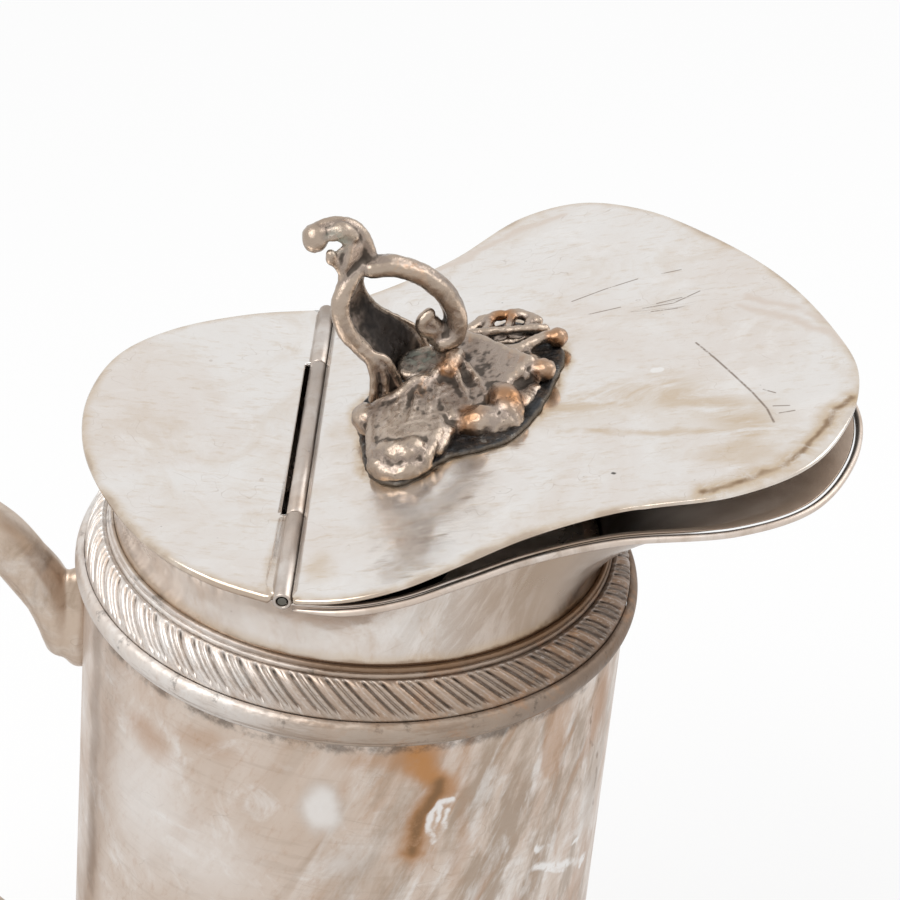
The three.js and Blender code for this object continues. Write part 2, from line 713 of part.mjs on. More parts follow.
function flaskOuterWall() {
  const top = flaskTop - flaskWall - gap;
  const mouthRadius = flaskMouthRadius + lipWidth();
  const tip = [[0, flaskBottom - flaskTipLength], [flaskTipRadius, flaskBottom - flaskTipRadius]];
  const outer = bottleOutline(flaskRadius, flaskBottom, flaskCorner, mouthRadius, top).slice(1);
  const inner = insideOutline(flaskRadius, flaskBottom, flaskCorner, mouthRadius, top);
  return turned([...tip, [flaskTipRadius, flaskBottom], ...outer, ...inner.reverse()], innerSegments);
}

function flaskCushion() {
  const bottom = coverThickness + gap;
  return washer(cushionInnerRadius, cushionOuterRadius, bottom, bottom + cushionHeight);
}

function mouthGasket() {
  const innerRadius = flaskMouthRadius - flaskWall + gap;
  return washer(innerRadius, innerRadius + gasketWidth, gasketZ, gasketZ + gasketThickness);
}

function pouringFunnel() {
  const innerRadius = flaskMouthRadius - flaskWall + gap;
  const ringOuter = innerRadius + gasketWidth;
  const outerRadius = neckRadius - neckWall - gap - facetAllowance;
  const seat = outerRadius - funnelSeat;
  const lean = funnelWall / 2;
  return turnedRing([
    [innerRadius, funnelRingZ], [ringOuter, funnelRingZ], [seat, neckZ], [outerRadius, neckZ],
    [outerRadius, neckZ + funnelWall], [seat - lean, neckZ + funnelWall],
    [ringOuter - lean, funnelRingZ + funnelWall], [innerRadius, funnelRingZ + funnelWall],
  ]);
}

piece('foot_ring', footRing(), silver);
piece('base_cover', baseCover(), silver);
screwPlaces().forEach(([x, y], i) => {
  piece(`base_screw_${i + 1}`, baseScrew(), steel).position.set(x, y, 0);
});
piece('body_shell', bodyShell(), stainedSilver);
piece('collar_bead', collarBead(), silver);
piece('gadroon_band', gadroonBand(), stainedSilver);
piece('neck_bead', neckBead(), silver);
piece('neck_spout', neckSpout(), silver);
piece('rim_wire', rimWire(), silver);
piece('rear_plate', rearPlate(), silver);
piece('hinge_knuckle_far', fixedKnuckle(middleKnuckleTo + gap, hingeHalfLength()), silver);
piece('hinge_knuckle_near', fixedKnuckle(-hingeHalfLength(), middleKnuckleFrom - gap), silver);
piece('hinge_pin', hingePin(), steel);

const lid = new THREE.Group();
lid.position.set(hingeX, 0, hingeZ);
lid.rotation.y = -radians(lidSlope);
carafe.add(lid);
piece('lid_plate', lidPlate(), silver, lid);
piece('lid_knuckle', tubeAlongY(barrelRadius, barrelBore, middleKnuckleFrom, middleKnuckleTo), silver, lid);
piece('thumbpiece_solder', thumbpieceSolder(), solder, lid);
piece('thumbpiece_leaves', thumbpieceLeaves(), darkCasting, lid);
piece('thumbpiece_scroll', thumbpieceScroll(), darkCasting, lid);

piece('handle_grip', handleGrip(), silver);
piece('handle_upper_lug', cut(lug(upperLug, 0), casingSpace()), silver);
piece('handle_lower_lug', cut(lug(lowerLug, 0), casingSpace()), silver);

piece('flask_inner_wall', flaskInnerWall(), glass);
piece('flask_outer_wall', flaskOuterWall(), glass);
piece('flask_cushion', flaskCushion(), rubber);
piece('mouth_gasket', mouthGasket(), rubber);
piece('pouring_funnel', pouringFunnel(), silver);

export default carafe;
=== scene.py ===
"""The looks of the silver-plated thermal carafe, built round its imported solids. Lengths are in millimetres,
and are turned into metres where a mesh, a spot or a painted line is made. The levels at which a material's
patterns begin and end along an axis are in metres, as are the lamps' and the camera's places."""
import math

import bmesh
import bpy
import numpy as np
from mathutils import Matrix, Vector, noise
from mathutils.geometry import delaunay_2d_cdt


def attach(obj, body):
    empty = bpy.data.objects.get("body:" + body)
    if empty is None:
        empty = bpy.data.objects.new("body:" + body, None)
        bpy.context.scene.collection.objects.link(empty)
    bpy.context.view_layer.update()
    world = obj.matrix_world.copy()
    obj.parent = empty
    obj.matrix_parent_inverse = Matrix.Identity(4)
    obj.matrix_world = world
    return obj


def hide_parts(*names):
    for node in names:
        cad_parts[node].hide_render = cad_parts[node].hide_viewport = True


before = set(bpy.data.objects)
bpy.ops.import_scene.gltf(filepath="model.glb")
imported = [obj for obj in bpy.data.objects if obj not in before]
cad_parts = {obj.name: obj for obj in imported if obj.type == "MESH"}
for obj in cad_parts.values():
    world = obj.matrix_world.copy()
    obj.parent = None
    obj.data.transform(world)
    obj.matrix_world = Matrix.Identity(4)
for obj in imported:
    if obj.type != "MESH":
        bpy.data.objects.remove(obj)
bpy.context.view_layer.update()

MM = 0.001

# Sizes shared with the solids
BODY_RADIUS = 63.6
BODY_FOOT_RADIUS = 66.4
BODY_BOTTOM = 5.3
COLLAR_Z = 190.0
BEAD_HEIGHT = 6.2
BEAD_DEPTH = 2.1
BAND_Z = COLLAR_Z + BEAD_HEIGHT
BAND_HEIGHT = 8.6
BAND_TOP_RADIUS = 59.3
NECK_Z = 203.6
NECK_RADIUS = 57.3
NECK_WALL = 1.2
NECK_REEDS = (1.6, 1.3)
RIM_Z = 223.7
RIM_SLOPE = math.radians(9.3)
RIM_INSET = 1.3
RIM_WIRE_RADIUS = 0.85
HINGE_X = -14.0
HINGE_Z = 224.4
LID_SLOPE = math.radians(14.3)
BARREL_RADIUS = 2.0
BARREL_BORE = 1.25
BARREL_HALF_LENGTH = 61.4
HINGE_SLOT = 0.8
KNUCKLE_FROM = -30.0
KNUCKLE_TO = 34.0
PLATE_BOTTOM = -0.4
PLATE_TOP = 0.8
GAP = 0.3
FLUTE_PAIRS = 48
FLUTE_SLANT = 9.6

# Outline of the lid: forward from the hinge axis, then along the hinge
LID_OUTLINE = [
    (0, -61.8), (13, -64), (25, -61.8), (38, -55.3), (52, -48), (70, -42.7), (96, -41),
    (112, -33.3), (122, -17), (125.7, 2), (122, 22), (112, 49.4), (97, 74), (80, 93.5),
    (64, 101.5), (49, 97.5), (31, 79), (15, 68.5), (0, 61.8),
]
REAR_OUTLINE = [
    (0, 61.8), (-19, 55.8), (-36.5, 45.2), (-47.5, 31.5), (-51.8, 12), (-50, -8), (-43, -26.5),
    (-31, -44.5), (-16, -56), (0, -61.8),
]
SOLDER_OUTLINE = [
    (13, -6), (16, -19), (23, -24), (34, -15.5), (46, -12), (53, -3), (57.5, 11), (60, 25),
    (55, 34), (48, 42), (39, 39), (30, 28), (18, 21), (11.5, 12),
]
HINGE_ENDS = [(-3, -60), (-3, -42)]
SCROLL_FOOT = (15.0, 12.0)
SCROLL_TURN = math.radians(20)
# Middle of the painted shade inside the strap, in the scroll's own directions
STRAP_MIDDLE = (7, 3.4, 16)
# The handle's middle line from the side: X, then height
HANDLE_PATH = [(-69, 169), (-76, 180), (-86, 192), (-100, 198), (-114, 192), (-123, 176), (-125.5, 152),
               (-122, 124), (-112, 98), (-97, 76), (-82, 62), (-69, 53)]

# Marks on the casing
STREAK_TILT = math.radians(-24)
LIP_RUN = [(57, -28.3, 186), (56.4, -29.6, 176), (57.6, -27.6, 168), (60.5, -21, 158), (61, -20, 142)]
# The handle's reflection down the casing's side, painted as a brown strip
HANDLE_REFLECTION = [(-57.6, -28.3, 190), (-58.2, -28.7, 112)]
ORANGE_RUN = [
    (17.5, -61.3, 186.3), (19.2, -60.8, 183), (23, -59.6, 176.1), (21.5, -60.2, 173.6),
    (18.9, -61.1, 168.3), (18.2, -61.5, 159.8),
]
CHALK_MARKS = [
    ([(26, -58.4, 172.3), (23.4, -59.5, 171.5), (21.6, -60.2, 169.3), (21.5, -60.3, 166.2),
      (22.9, -59.8, 161.8)], 1.2),
    ([(25.1, -58.8, 169.7), (24.6, -59.1, 165.5), (24.6, -59.2, 160.3)], 1.0),
    ([(23.4, -59.5, 170.5), (23.2, -59.6, 164.5)], 0.9),
    ([(46.6, -44.3, 148), (57.8, -28.5, 138)], 1.0),
    ([(47.7, -43.2, 141.6), (54, -35, 136), (60.8, -21.8, 127.3)], 1.9),
    ([(50.2, -40.4, 137.8), (59.8, -24.3, 126.9)], 1.2),
]
# Marks on the lid: forward from the hinge axis, then along the hinge
CREASE = [(123.1, -8.9), (119.3, -13), (115.6, -20.7), (110.5, -28.6), (105.7, -33.6), (99.7, -36.3),
          (89.3, -39.2)]
LONG_SCRATCH = [(90.4, 22.5), (94.4, 14.4), (97.9, 6.7), (101.9, -2.5), (104.5, -9.7), (105.6, -15.6)]
SHORT_SCRATCHES = [
    [(61.6, 49.4), (69.6, 53.4), (77.7, 56.5)], [(83.7, 57.6), (88.4, 58.4)], [(65.7, 42.1), (73.2, 43.6)],
    [(78.6, 41.7), (86, 42.4), (92.4, 46.6)], [(80.6, 39.6), (86.7, 39.7)], [(82, 43.2), (88, 44.6)],
    [(104.3, -1.6), (106.8, -3.6)], [(106, -9), (109.4, -9.6)], [(107.1, -12.2), (110.4, -11.9)],
]
# Painted shading of the dents near the lid's edges
DENT_SHADING = [[(101.4, 37.6), (110.6, 30.3), (120.8, 19.7), (124.2, 14.2)], [(104, 41), (113, 34), (121, 25)],
         [(28.2, 74.1), (43.3, 86.2), (58.7, 95.7)]]
TAN_LINE = [(58.5, -9.4), (77.7, -13.7), (89, -16.2), (103.8, -19.5)]
TAN_CLOUD = [(58.6, 0.8), (68.8, 2.9), (81.3, 3.8), (86, -1), (95.5, -7.6), (101, -16)]
# Coppery places on the thumbpiece's leaves, with their radii, each with painted shade on its lower side
LOBE_STAINS_AND_SHADE = [((39, -5, 4), 4.5), ((47.5, 0, 5), 5.5), ((34, 11, 9), 3.0), ((55.6, 12.6, 4.6), 3.4),
               ((58.6, 27.6, 4), 3.2), ((45, 38, 5), 4.0)]
# The leaf nearest the camera is worn paler
NEAR_LEAF = (25, -10, 6)

# Colours
SILVER = (0.755, 0.73, 0.705, 1)
WARM_SILVER = (0.66, 0.57, 0.50, 1)
BEIGE = (0.56, 0.445, 0.36, 1)
BRONZE = (0.36, 0.27, 0.20, 1)
DARK_BRONZE = (0.17, 0.118, 0.085, 1)
COPPER = (0.42, 0.235, 0.125, 1)
BROWN = (0.20, 0.115, 0.06, 1)
YELLOW = (0.52, 0.37, 0.21, 1)
ORANGE = (0.46, 0.22, 0.08, 1)
HAZE_AND_SHEEN = (0.82, 0.80, 0.78, 1)
GRIME_AND_SHADE = (0.035, 0.028, 0.022, 1)

# The camera: azimuth, elevation and roll in degrees, then metres
CAMERA_ANGLES = (-1.1634, 32.6746, 5.8893)
CAMERA_DISTANCE = 0.5901
CAMERA_ASIDE = 0.02183
CAMERA_LIFT = 0.02868

# Steps round a turned piece, and the scale of the plain materials' grain
LATHE_STEPS = 256
GRAIN_SCALE = 500

# The lid's own frame: x forward along the lid from the hinge axis, y along the hinge
LID_FRAME = Matrix.Translation((HINGE_X * MM, 0, HINGE_Z * MM)) @ Matrix.Rotation(-LID_SLOPE, 4, "Y")


# Curves and meshes

def spline(points, count, closed=False):
    """Evenly spaced points along a centripetal Catmull-Rom curve through the given ones."""
    given = np.array(points, float)
    if closed:
        padded = np.vstack([given[-1], given, given[0], given[1]])
    else:
        padded = np.vstack([2 * given[0] - given[1], given, 2 * given[-1] - given[-2]])
    share = np.linspace(0, 1, 25)[:, None]
    pieces = []
    for p0, p1, p2, p3 in zip(padded, padded[1:], padded[2:], padded[3:]):
        d0, d1, d2 = (max(math.sqrt(np.linalg.norm(q - p)), 1e-6)
                      for p, q in ((p0, p1), (p1, p2), (p2, p3)))
        start = d1 * ((p1 - p0) / d0 - (p2 - p0) / (d0 + d1) + (p2 - p1) / d1)
        end = d1 * ((p2 - p1) / d1 - (p3 - p1) / (d1 + d2) + (p3 - p2) / d2)
        square, cube = share**2, share**3
        curve = (2 * cube - 3 * square + 1) * p1 + (cube - 2 * square + share) * start
        curve = curve + (3 * square - 2 * cube) * p2 + (cube - square) * end
        pieces.append(curve[:-1])
    pieces.append(given[:1] if closed else given[-1:])
    line = np.vstack(pieces)
    run = np.concatenate([[0], np.cumsum(np.linalg.norm(np.diff(line, axis=0), axis=1))])
    wanted = np.linspace(0, run[-1], count + 1)
    return np.stack([np.interp(wanted, run, line[:, k]) for k in range(line.shape[1])], axis=1)


def link_object(name, data):
    made = bpy.data.objects.new(name, data)
    bpy.context.scene.collection.objects.link(made)
    return made


def make_object(name, vertices, faces):
    """A mesh object from vertices in millimetres."""
    mesh = bpy.data.meshes.new(name)
    mesh.from_pydata([tuple(v) for v in np.asarray(vertices, float) * MM], [], faces)
    mesh.validate()
    mesh.update()
    made = link_object(name, mesh)
    work = bmesh.new()
    work.from_mesh(mesh)
    bmesh.ops.remove_doubles(work, verts=work.verts, dist=1e-7)
    bmesh.ops.recalc_face_normals(work, faces=work.faces)
    work.to_mesh(mesh)
    work.free()
    for polygon in mesh.polygons:
        polygon.use_smooth = True
    return made


def ring_faces(rings, size, joined):
    """Four-sided faces between closed rings. joined also joins the last ring to the first."""
    faces = []
    for i in range(rings if joined else rings - 1):
        for j in range(size):
            beside, above = (j + 1) % size, (i + 1) % rings * size
            faces.append((i * size + j, i * size + beside, above + beside, above + j))
    return faces


def loft(name, rings, capped=False):
    """A surface through closed rings of equal length. It runs back to the first ring or is capped."""
    rings = np.asarray(rings, float)
    count, size = rings.shape[:2]
    faces = ring_faces(count, size, not capped)
    if capped:
        faces.append(tuple(range(size)))
        faces.append(tuple(range((count - 1) * size, count * size)))
    return make_object(name, rings.reshape(-1, 3), faces)


def turned(radius, angles, height):
    """Points about the upright axis."""
    return np.stack([radius * np.cos(angles), radius * np.sin(angles), height + 0 * angles], axis=-1)


def circle(count):
    return np.linspace(0, 2 * math.pi, count, endpoint=False)


def lathe(name, profile):
    """A closed profile of (radius, height) pairs turned about the upright axis."""
    profile = np.asarray(profile, float)
    return loft(name, turned(profile[:, :1], circle(LATHE_STEPS), profile[:, 1:]))


def roll(radius, low, high, depth, steps=16):
    """The outside of a round moulding, from its lower edge to its upper edge."""
    angles = np.linspace(-math.pi / 2, math.pi / 2, steps + 1)
    return [(radius + depth * math.cos(a), (low + high) / 2 + (high - low) / 2 * math.sin(a)) for a in angles]


def swept(name, path, across, thickness, width, sides=24, power=2.0):
    """A tube along a path. across is the direction of its width, power squares the section off."""
    path = np.asarray(path, float)
    tangent = np.gradient(path, axis=0)
    tangent /= np.linalg.norm(tangent, axis=1)[:, None]
    side = np.broadcast_to(np.asarray(across, float), path.shape)
    side = side - (side * tangent).sum(1)[:, None] * tangent
    side /= np.linalg.norm(side, axis=1)[:, None]
    up = np.cross(tangent, side)
    angles = circle(sides)
    shape = 2.0 / power
    c = np.sign(np.cos(angles)) * np.abs(np.cos(angles)) ** shape
    s = np.sign(np.sin(angles)) * np.abs(np.sin(angles)) ** shape
    rings = (path[:, None]
             + side[:, None] * (np.asarray(width)[:, None, None] * c[None, :, None])
             + up[:, None] * (np.asarray(thickness)[:, None, None] * s[None, :, None]))
    return loft(name, rings, capped=True)


def give_material(mesh, material):
    mesh.materials.clear()
    mesh.materials.append(material)


def dress(piece, body, material, node):
    """Gives a piece its material and puts it in place of a node's solids."""
    give_material(piece.data, material)
    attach(piece, body)
    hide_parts(node)
    return piece


def attribute(piece, name, values):
    layer = piece.data.attributes.new(name, "FLOAT", "POINT")
    layer.data.foreach_set("value", np.asarray(values, np.float32))


def vertex_rows(piece, name):
    flat = np.zeros(len(piece.data.vertices) * 3)
    piece.data.vertices.foreach_get(name, flat)
    return flat.reshape(-1, 3)


def coordinates(piece):
    """A piece's vertices in millimetres."""
    return vertex_rows(piece, "co") / MM


def move_vertices(piece, points):
    piece.data.vertices.foreach_set("co", (np.asarray(points) * MM).ravel())
    piece.data.update()


def distance_to_line(points, line):
    """Each point's distance to a polyline, in the plane."""
    points, line = np.asarray(points, float)[:, :2], np.asarray(line, float)[:, :2]
    best = np.full(len(points), 1e9)
    for a, b in zip(line, line[1:]):
        along = b - a
        t = np.clip(((points - a) @ along) / max(along @ along, 1e-9), 0, 1)
        best = np.minimum(best, np.linalg.norm(points - a - t[:, None] * along, axis=1))
    return best


def inset(outline, distance):
    """Moves each point of a closed outline inwards."""
    along = np.roll(outline, -1, axis=0) - np.roll(outline, 1, axis=0)
    along /= np.linalg.norm(along, axis=1)[:, None]
    return outline + np.stack([-along[:, 1], along[:, 0]], axis=1) * distance


def inside(points, outline):
    """Which points lie inside a closed outline."""
    x, y = points[:, 0], points[:, 1]
    found = np.zeros(len(points), bool)
    for (ax, ay), (bx, by) in zip(outline, np.roll(outline, -1, axis=0)):
        crosses = (ay > y) != (by > y)
        found ^= crosses & (x < (bx - ax) * (y - ay) / (by - ay + 1e-12) + ax)
    return found


def filled(outline, spacing):
    """Triangles that fill a closed outline, with an even grid of points inside it."""
    low, high = outline.min(0), outline.max(0)
    grid = np.meshgrid(np.arange(low[0], high[0], spacing), np.arange(low[1], high[1], spacing))
    grid = np.stack(grid, axis=-1).reshape(-1, 2)
    closed_line = np.vstack([outline, outline[:1]])
    grid = grid[inside(grid, outline) & (distance_to_line(grid, closed_line) > spacing * 0.4)]
    count = len(outline)
    points = [Vector(p) for p in np.vstack([outline, grid])]
    edges = [(i, (i + 1) % count) for i in range(count)]
    made = delaunay_2d_cdt(points, edges, [list(range(count))], 1, 1e-5)
    return np.array([tuple(p) for p in made[0]]), [tuple(f) for f in made[2]]


def plate(name, outline, profile, bottom, spacing=2.0):
    """A flat plate. profile gives, from the flat top to the lower edge, the inset from the outline and the
    height, each a number or one value per outline point."""
    size = len(outline)
    direction = inset(outline, 1.0) - outline
    layers = []
    for distance, height in profile:
        line = outline + direction * np.broadcast_to(distance, size)[:, None]
        layers.append(np.column_stack([line, np.broadcast_to(height, size)]))
    vertices = [np.vstack(layers)]
    faces = ring_faces(len(layers), size, False)
    start = len(vertices[0])
    for line, height in ((layers[0], layers[0][0, 2]), (layers[-1], bottom)):
        flat, triangles = filled(line[:, :2], spacing)
        vertices.append(np.column_stack([flat, np.full(len(flat), height)]))
        faces += [tuple(start + k for k in triangle) for triangle in triangles]
        start += len(flat)
    return make_object(name, np.vstack(vertices), faces)


def fused_balls(name, balls, voxel, smoothing, wrinkle, pits=(0.0, 1.0), floor=None):
    """One cast body from overlapping balls, given as rows of x, y, z and radius. wrinkle and pits give the
    depth and the length of the surface's unevenness."""
    work = bmesh.new()
    bmesh.ops.create_icosphere(work, subdivisions=2, radius=1.0)
    template = np.array([v.co for v in work.verts])
    work.verts.ensure_lookup_table()
    triangles = np.array([[v.index for v in f.verts] for f in work.faces])
    work.free()
    balls = np.array(balls, float)
    vertices = (balls[:, None, :3] + template[None] * balls[:, None, 3:]).reshape(-1, 3)
    faces = (triangles[None] + (np.arange(len(balls)) * len(template))[:, None, None]).reshape(-1, 3)
    mesh = bpy.data.meshes.new(name)
    mesh.from_pydata([tuple(v) for v in vertices * MM], [], [tuple(f) for f in faces])
    piece = link_object(name, mesh)
    remesh = piece.modifiers.new("fuse", "REMESH")
    remesh.mode, remesh.voxel_size = "VOXEL", voxel * MM
    smooth = piece.modifiers.new("smooth", "SMOOTH")
    smooth.factor, smooth.iterations = 0.5, smoothing
    shaped = bpy.data.meshes.new_from_object(piece.evaluated_get(bpy.context.evaluated_depsgraph_get()))
    piece.modifiers.clear()
    piece.data = shaped
    roughen(piece, wrinkle, pits)
    if floor is not None:
        points = coordinates(piece)
        points[:, 2] = np.maximum(points[:, 2], floor)
        move_vertices(piece, points)
    for polygon in piece.data.polygons:
        polygon.use_smooth = True
    return piece


def roughen(piece, wrinkle, pits):
    points = coordinates(piece)
    height = np.zeros(len(points))
    for depth, length in (wrinkle, pits):
        if depth:
            height += depth * np.array([noise.fractal(Vector(p / length), 0.8, 2.1, 3) for p in points])
    move_vertices(piece, points + vertex_rows(piece, "normal") * height[:, None])


def hollows(piece, steps):
    """How deep each vertex lies, in millimetres, below the surface smoothed over its neighbours."""
    count = len(piece.data.vertices)
    edges = np.zeros(2 * len(piece.data.edges), int)
    piece.data.edges.foreach_get("vertices", edges)
    a, b = edges[0::2], edges[1::2]
    points = coordinates(piece)
    shares = np.maximum(np.bincount(a, minlength=count) + np.bincount(b, minlength=count), 1)
    smooth = points.copy()
    for _ in range(steps):
        for axis in range(3):
            column = smooth[:, axis].copy()
            total = np.bincount(a, column[b], count) + np.bincount(b, column[a], count)
            smooth[:, axis] = total / shares
    return ((smooth - points) * vertex_rows(piece, "normal")).sum(1)


def chain(points, radii):
    """Balls along a smooth line, close enough together to fuse into one limb."""
    points, radii = np.array(points, float), np.array(radii, float)
    length = np.linalg.norm(np.diff(points, axis=0), axis=1).sum()
    steps = max(4, int(length / (0.3 * radii.mean())))
    return spline(np.column_stack([points, radii]), steps)


def web(first, second, radius, sag):
    """Balls that fill the sheet between two lines."""
    first, second = np.array(first, float), np.array(second, float)
    step = 0.45 * radius
    length = max(np.linalg.norm(np.diff(line, axis=0), axis=1).sum() for line in (first, second))
    a, b = spline(first, int(length / step) + 2), spline(second, int(length / step) + 2)
    columns = int(np.linalg.norm(b - a, axis=1).max() / step) + 2
    balls = []
    for share in np.linspace(0, 1, columns):
        line = a + (b - a) * share + 4 * share * (1 - share) * np.array(sag)
        balls.append(np.column_stack([line, np.full(len(line), radius)]))
    return np.vstack(balls)


# Shader building

class Level:
    """A value that varies over a surface: an output socket that can be added, multiplied and ramped."""

    def __init__(self, nodes, socket):
        self.nodes = nodes
        self.socket = socket

    def __add__(self, other):
        return self.nodes.math("ADD", self, other)

    def __sub__(self, other):
        return self.nodes.math("SUBTRACT", self, other)

    def __mul__(self, other):
        return self.nodes.math("MULTIPLY", self, other)

    def ramp(self, low, high, to_low=0.0, to_high=1.0):
        """Runs smoothly from to_low at low to to_high at high, and stays level beyond them."""
        return self.nodes.add("ShaderNodeMapRange", {
            "Value": self, "From Min": low, "From Max": high, "To Min": to_low, "To Max": to_high,
        }, interpolation_type="SMOOTHSTEP")


class Nodes:
    """Adds nodes to an emptied node tree and returns one output of each as a Level."""

    def __init__(self, tree):
        self.tree = tree
        self.tree.nodes.clear()

    def feed(self, socket, value):
        if isinstance(value, Level):
            self.tree.links.new(value.socket, socket)
        else:
            socket.default_value = value

    def add(self, kind, inputs=None, output=0, **settings):
        node = self.tree.nodes.new(kind)
        for key, value in settings.items():
            setattr(node, key, value)
        for key, value in (inputs or {}).items():
            self.feed(node.inputs[key], value)
        return Level(self, node.outputs[output]) if node.outputs else None

    def math(self, operation, a, b=0.0):
        return self.add("ShaderNodeMath", {0: a, 1: b}, operation=operation)

    def vector(self, operation, a, b, output="Vector"):
        return self.add("ShaderNodeVectorMath", {0: a, 1: b}, output, operation=operation)


class Shader(Nodes):
    """A material. Its patterns are levels from 0 to 1, by which tint lays a colour over those before."""

    def __init__(self, name, colour, metallic):
        self.material = bpy.data.materials.new(name)
        self.material.use_nodes = True
        super().__init__(self.material.node_tree)
        self.surface = self.add("ShaderNodeBsdfPrincipled")
        self.add("ShaderNodeOutputMaterial", {"Surface": self.surface})
        self.place = self.add("ShaderNodeTexCoord", output="Object")
        self.drifted = None
        self.colour = colour
        self.metallic = metallic

    def finish(self):
        inputs = self.surface.socket.node.inputs
        for name, value in (("Base Color", self.colour), ("Metallic", self.metallic),
                            ("Roughness", self.rough), ("Normal", self.normal)):
            self.feed(inputs[name], value)
        return self.material

    def stretched(self, scale, tilt=0.0):
        """The place turned about Y and then scaled, so that a pattern runs along a slanting line."""
        slanted = self.add("ShaderNodeVectorRotate", {"Vector": self.place, "Angle": tilt},
                           rotation_type="Y_AXIS")
        return self.vector("MULTIPLY", slanted, scale)

    def noise(self, scale, detail=4.0, roughness=0.55, distortion=0.0, at=None):
        return self.add("ShaderNodeTexNoise", {
            "Vector": at or self.place, "Scale": scale, "Detail": detail,
            "Roughness": roughness, "Distortion": distortion,
        }, "Fac")

    def cells(self, scale):
        return self.add("ShaderNodeTexVoronoi", {"Vector": self.place, "Scale": scale}, "Distance")

    def value(self, name):
        return self.add("ShaderNodeAttribute", output="Fac", attribute_name=name)

    def axis(self, name):
        return self.add("ShaderNodeSeparateXYZ", {0: self.place}, name)

    def bump(self, height, strength, distance, below=None):
        inputs = {"Height": height, "Strength": strength, "Distance": distance}
        if below is not None:
            inputs["Normal"] = below
        return self.add("ShaderNodeBump", inputs)

    def drift(self):
        """The place, pushed about a little, for edges that wander."""
        if self.drifted is None:
            inputs = {"Vector": self.place, "Scale": 110.0, "Detail": 5.0}
            wander = self.add("ShaderNodeTexNoise", inputs, "Color")
            centred = self.vector("SUBTRACT", wander, (0.5, 0.5, 0.5))
            self.drifted = self.vector("ADD", self.place, self.vector("MULTIPLY", centred, (0.006,) * 3))
        return self.drifted

    def spot(self, centre, radii, soft=0.6):
        """A patch with a soft, wandering edge at a place on the piece, in millimetres."""
        offset = self.vector("SUBTRACT", self.drift(), tuple(c * MM for c in centre))
        scaled = self.vector("MULTIPLY", offset, tuple(1 / (r * MM) for r in radii))
        return self.vector("LENGTH", scaled, (0, 0, 0), "Value").ramp(1.0, 1.0 - soft)

    def streak(self, points, width, soft):
        """A soft line whose edge wanders."""
        return self.line(self.drift(), points, width, soft)

    def scratch(self, points, width, soft=0.7):
        return self.line(self.place, points, width, soft)

    def line(self, source, points, width, soft):
        """A line through places on the piece, in millimetres: 1 along its middle, 0 beyond its width."""
        nearest = None
        for start, end in zip(points, points[1:]):
            start, end = Vector(start) * MM, Vector(end) * MM
            along = end - start
            offset = self.vector("SUBTRACT", source, tuple(start))
            share = self.vector("DOT_PRODUCT", offset, tuple(along / along.length_squared), "Value")
            held = self.add("ShaderNodeClamp", {"Value": share})
            foot = self.add("ShaderNodeVectorMath", {0: tuple(along), "Scale": held}, operation="SCALE")
            distance = self.vector("DISTANCE", offset, foot, "Value")
            nearest = distance if nearest is None else self.math("MINIMUM", nearest, distance)
        return nearest.ramp(width * MM, width * MM * (1 - soft))

    def hairlines(self, scale, at, width=0.006):
        """Fine curving scratches: the places where a smooth noise passes its middle value."""
        crossing = self.math("ABSOLUTE", self.noise(scale, 1.0, 0.4, 0.0, at) - 0.5)
        return crossing.ramp(width, width * 0.25)

    def tint(self, share, colour, strength=1.0):
        self.colour = self.add("ShaderNodeMix", {0: share * strength, 6: self.colour, 7: colour}, 2,
                               data_type="RGBA")


# Materials

def plate_shader(name, base, clouds, stains, haze, roughness, tilt=0.0, stretch=(1, 1, 1)):
    """Worn silver plate: clouds, drifting tarnish, hazy patches, fine brushing, hairlines and small pits.
    clouds and stains are each a colour and a strength."""
    made = Shader(name, base, 0.9)
    lying = made.stretched(stretch, tilt)
    made.tint(made.noise(20, 5, 0.62, 0.8, lying).ramp(0.36, 0.66), *clouds)
    made.tint(made.noise(38, 7, 0.66, 1.4, lying).ramp(0.48, 0.68), *stains)
    made.tint(made.noise(55, 6, 0.66, 0.9).ramp(0.5, 0.72), HAZE_AND_SHEEN, haze)
    fine = made.noise(620, 4, 0.7, 0.0, made.stretched((1, 1, 0.35), tilt))
    made.tint(fine.ramp(0.5, 0.75), stains[0], 0.3)
    made.tint(made.cells(270).ramp(0.085, 0.03) * made.noise(130, 2).ramp(0.54, 0.66), GRIME_AND_SHADE, 0.5)
    lines = made.hairlines(170, made.stretched((0.06, 1, 1), tilt + 0.15))
    made.tint(lines * made.noise(60, 3).ramp(0.5, 0.6), BRONZE, 0.3)
    made.rough = made.noise(75, 5, 0.6).ramp(0.3, 0.75, roughness - 0.06, roughness + 0.12)
    brushing = made.noise(900, 3, 0.6, 0, made.stretched((1, 1, 0.25), tilt))
    made.normal = made.bump(made.noise(38, 3), 0.14, 0.004, made.bump(brushing, 0.07, 0.0003))
    return made


def plain_plate(name, base, stains, roughness):
    return plate_shader(name, base, (BEIGE, 0.6), (BRONZE, stains), haze=0.4, roughness=roughness)


